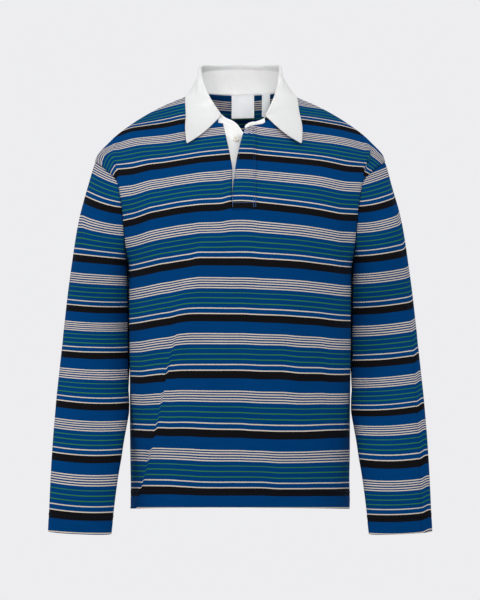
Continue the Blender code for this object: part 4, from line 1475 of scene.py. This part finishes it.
def level_line(points, distance, wall):
    """The line that lies a distance up the cloth from the grid's first row, on the face that is wall
    out of the grid, and the directions out of it."""
    up = arc(points, 0)
    row = np.argmax(up > distance, axis=0) - 1
    column = np.arange(points.shape[1])
    share = ((distance - up[row, column]) / (up[row + 1, column] - up[row, column]))[:, None]
    ups = facing(points)
    line, out = (g[row, column] * (1 - share) + g[row + 1, column] * share for g in (points, ups))
    return line + out * (wall + THREAD * SUNK), out


print("triangles in a stitch:", len(capsule_faces()))

# %% [markdown]
# The hem and the cuffs are turned up inside and held by two level rows each.

# %% Hem and cuff stitches
for name, grid, wall in (
    ("front_hem", front_points, JERSEY),
    ("back_hem", back_points, JERSEY),
    ("cuff_right", right_points[::-1, ::-1], 0.0),
    ("cuff_left", left_points[::-1, ::-1], 0.0),
):
    runs = [run(*level_line(grid, distance, wall)) for distance in STITCH_UP]
    stitches("stitches_" + name, "navy", *joined(runs))

# %% [markdown]
# The striped strip is sewn down along its seam with two rows, along its free edge with one, and
# across its lower end with a box. The buttonhole is a ring of close bars round a short slit, whose
# opening is a near-black capsule of painted shade.

# %% Placket stitches
ROW_X = (0.0207, 0.0241)
ROW_TOP = -0.0585
BOX_LEFT, BOX_LOW, BOX_LINE, BOX_TOP = -0.0117, -0.1925, -0.1850, -0.1775
FREE_ROW, FREE_ROW_TOP = 0.0024, -0.0690
FINE_THREAD, SLIT_WIDTH = 0.00024, 0.0004
HOLE_X, HOLE_Z = 0.0182, -0.0684
HOLE_BARS = 56


def strip_run(x, z):
    """Stitches on the striped strip along a line of widths and heights."""
    x, z = np.broadcast_arrays(x, z)
    return run(on_strip(x, z, THREAD * SUNK), on_strip(x, z, 0.001) - on_strip(x, z, 0.0))


rows = [strip_run(x, np.linspace(BOX_LOW, ROW_TOP, 90)) for x in ROW_X]
edge_z = np.linspace(BOX_TOP, FREE_ROW_TOP, 90)
rows.append(strip_run(strip_edge(edge_z)[1] + FREE_ROW, edge_z))
stitches("stitches_strip", "blue", *joined(rows), FINE_THREAD)
box_z = np.linspace(BOX_LOW, BOX_TOP, 12)
box = [strip_run(x, box_z) for x in (BOX_LEFT, ROW_X[0] + 0.0004, ROW_X[1] + 0.0004)]
box.insert(1, strip_run(np.linspace(BOX_LEFT, ROW_X[1], 24), BOX_LINE))
stitches("stitches_box", "pale", *joined(box))


def oval(wide, high, above):
    """Points round the buttonhole on an ellipse with these half sizes, above the strip's face."""
    turn = np.linspace(0, 2 * pi, HOLE_BARS + 1)[:-1]
    return on_strip(HOLE_X + wide * np.cos(turn), HOLE_Z + high * np.sin(turn), above)


inner, outer = (oval(*sizes, THREAD * SUNK) for sizes in ((0.0058, 0.0009), (0.0072, 0.0028)))
out = oval(0.006, 0.0, 0.001) - oval(0.006, 0.0, 0.0)
stitches("stitches_buttonhole", "grey", inner, outer, out)
slit = [on_strip(np.array([HOLE_X + x]), np.array([HOLE_Z]), 0.0) for x in (-0.0056, 0.0056)]
# The slit is a near-black capsule: painted shade for the opening.
stitches("buttonhole_slit_shade", "slit_shade", *slit, out[:1], SLIT_WIDTH)

# %% [markdown]
# The collar's leaf has one row of white stitches a few millimetres inside its edge, which keeps the
# folded twill flat. The row runs up one front end, along the free edge and down the other.

# %% Collar stitches
EDGE_ROW = 0.0050


def collar_runs():
    """The row's three runs. Its corners are the columns that lie EDGE_ROW from the leaf's ends."""
    leaf = collar_points[STAND_ROWS + FOLD_ROWS :][::-1, ::-1]
    out = facing(leaf)
    across = arc(leaf, 1)
    ends = [np.abs(across - far).mean(0).argmin() for far in (EDGE_ROW, across[:, -1:] - EDGE_ROW)]
    line, ups = level_line(leaf, EDGE_ROW, COLLAR_WALL)
    first, last = ends
    runs = [run(line[first : last + 1], ups[first : last + 1])]
    row = int(np.argmax(arc(leaf, 0)[:, first] > EDGE_ROW))
    for column in ends:
        side = leaf[row:-2, column] + out[row:-2, column] * (COLLAR_WALL + THREAD * SUNK)
        runs.append(run(side, out[row:-2, column]))
    return runs


stitches("stitches_collar", "white", *joined(collar_runs()))

# %% [markdown]
# ## Button
#
# A shirt button is turned from a rod: a low rim round a shallow dish, with four holes for the thread.
# Its profile is carried round the axis, and each hole is a steep well in that surface, so one formula
# gives the whole face.

# %% Button
BUTTON_RADIUS, BUTTON_THICK = 0.0047, 0.0024
HOLE_OFF, HOLE_RADIUS, HOLE_DEPTH = 0.0011, 0.00050, 0.0011
DISH = 0.45
BUTTON_AT = np.array(0.62), np.array(-0.078)
CORNER_SIGNS = [(-1, -1), (1, 1), (-1, 1), (1, -1)]

# The profile from the rim's inner foot to the underside, as shares of the radius and half thickness.
RIM = (
    (0.62, 0.50), (0.70, 0.75), (0.78, 0.95), (0.86, 1.00), (0.93, 0.90), (0.98, 0.60), (1.00, 0.20),
    (1.00, -0.20), (0.97, -0.65), (0.90, -0.90), (0.80, -1.00), (0.40, -1.00), (0.0, -1.00),
)


def button_axes(out):
    """Unit directions to the right and to the top on a face that looks along out."""
    right = unit(np.cross([0, 0, 1.0], out))
    return right, np.cross(out, right)


def button_grid(centre, out):
    """Rings from the middle of the face over the rim to the middle of the underside. Height over the
    mid-plane is the profile's, less a well exp(-(distance / radius)^6) at each of four holes."""
    profile = np.array([(0.0, DISH), *[(r, DISH) for r in np.linspace(0.05, 0.55, 12)], *RIM])
    angle = np.linspace(0, 2 * pi, 73)
    radius = profile[:, :1] * BUTTON_RADIUS
    x, y = radius * np.cos(angle), radius * np.sin(angle)
    up = profile[:, 1:] * BUTTON_THICK / 2 + 0 * x
    for sx, sy in sorted(CORNER_SIGNS):
        away = np.hypot(x - sx * HOLE_OFF, y - sy * HOLE_OFF)
        up = up - np.where(up > 0, HOLE_DEPTH, 0) * np.exp(-((away / HOLE_RADIUS) ** 6))
    right, top = button_axes(out)
    return centre + x[..., None] * right + y[..., None] * top + up[..., None] * out


button_centre = sum(np.array(corner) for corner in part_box("button")) / 2
button_out = unit(under_strip(*BUTTON_AT, 0.001) - under_strip(*BUTTON_AT))
button_points = button_grid(button_centre, button_out)[:, ::-1]
button_maps = (arc(button_points, 1), arc(button_points, 0))
button_mesh = grid_mesh("button_turned", button_points, *button_maps, closed=True)
poles = bmesh.new()
poles.from_mesh(button_mesh)
bmesh.ops.remove_doubles(poles, verts=poles.verts, dist=1e-6)
poles.to_mesh(button_mesh)
poles.free()
piece_of("button_turned", button_mesh, horn, "button", ["button"])
print("button points:", len(button_mesh.vertices))

# %% [markdown]
# The button is sewn on with two crossed pairs of threads through its holes, and stands on a shank of
# thread wound round under it.

# %% Button thread
PAIR_APART, THREAD_UP = 0.00018, 0.0002
SHANK_LENGTH, SHANK_RADIUS = 0.0016, 0.0012

right, top = button_axes(button_out)
face = button_centre + button_out * (BUTTON_THICK / 2 * DISH + THREAD_UP)
holes = np.array([face + HOLE_OFF * (x * right + y * top) for x, y in CORNER_SIGNS])
apart = np.repeat([-PAIR_APART, PAIR_APART], 2)[:, None] * right
starts, stops = (np.tile(holes[k::2], (2, 1)) + apart for k in (0, 1))
stitches("button_thread", "beige", starts, stops, np.tile(button_out, (4, 1)))
shank = np.array([button_centre - button_out * BUTTON_THICK / 2])
stitches("button_shank", "beige", shank, shank - button_out * SHANK_LENGTH, right[None], SHANK_RADIUS)

# %% [markdown]
# ## The sheets' sizes, and the end
#
# The size each piece of cloth was cut to is read back: its length at least about a centimetre, and
# its area no more than width times length.

# %% Sheet sizes and finish
SHORTEST_CUT = 0.0101

for piece, (width, length, area) in sheets:
    length = max(float(length), SHORTEST_CUT)
    width, area = float(width), min(float(area), float(width) * length)
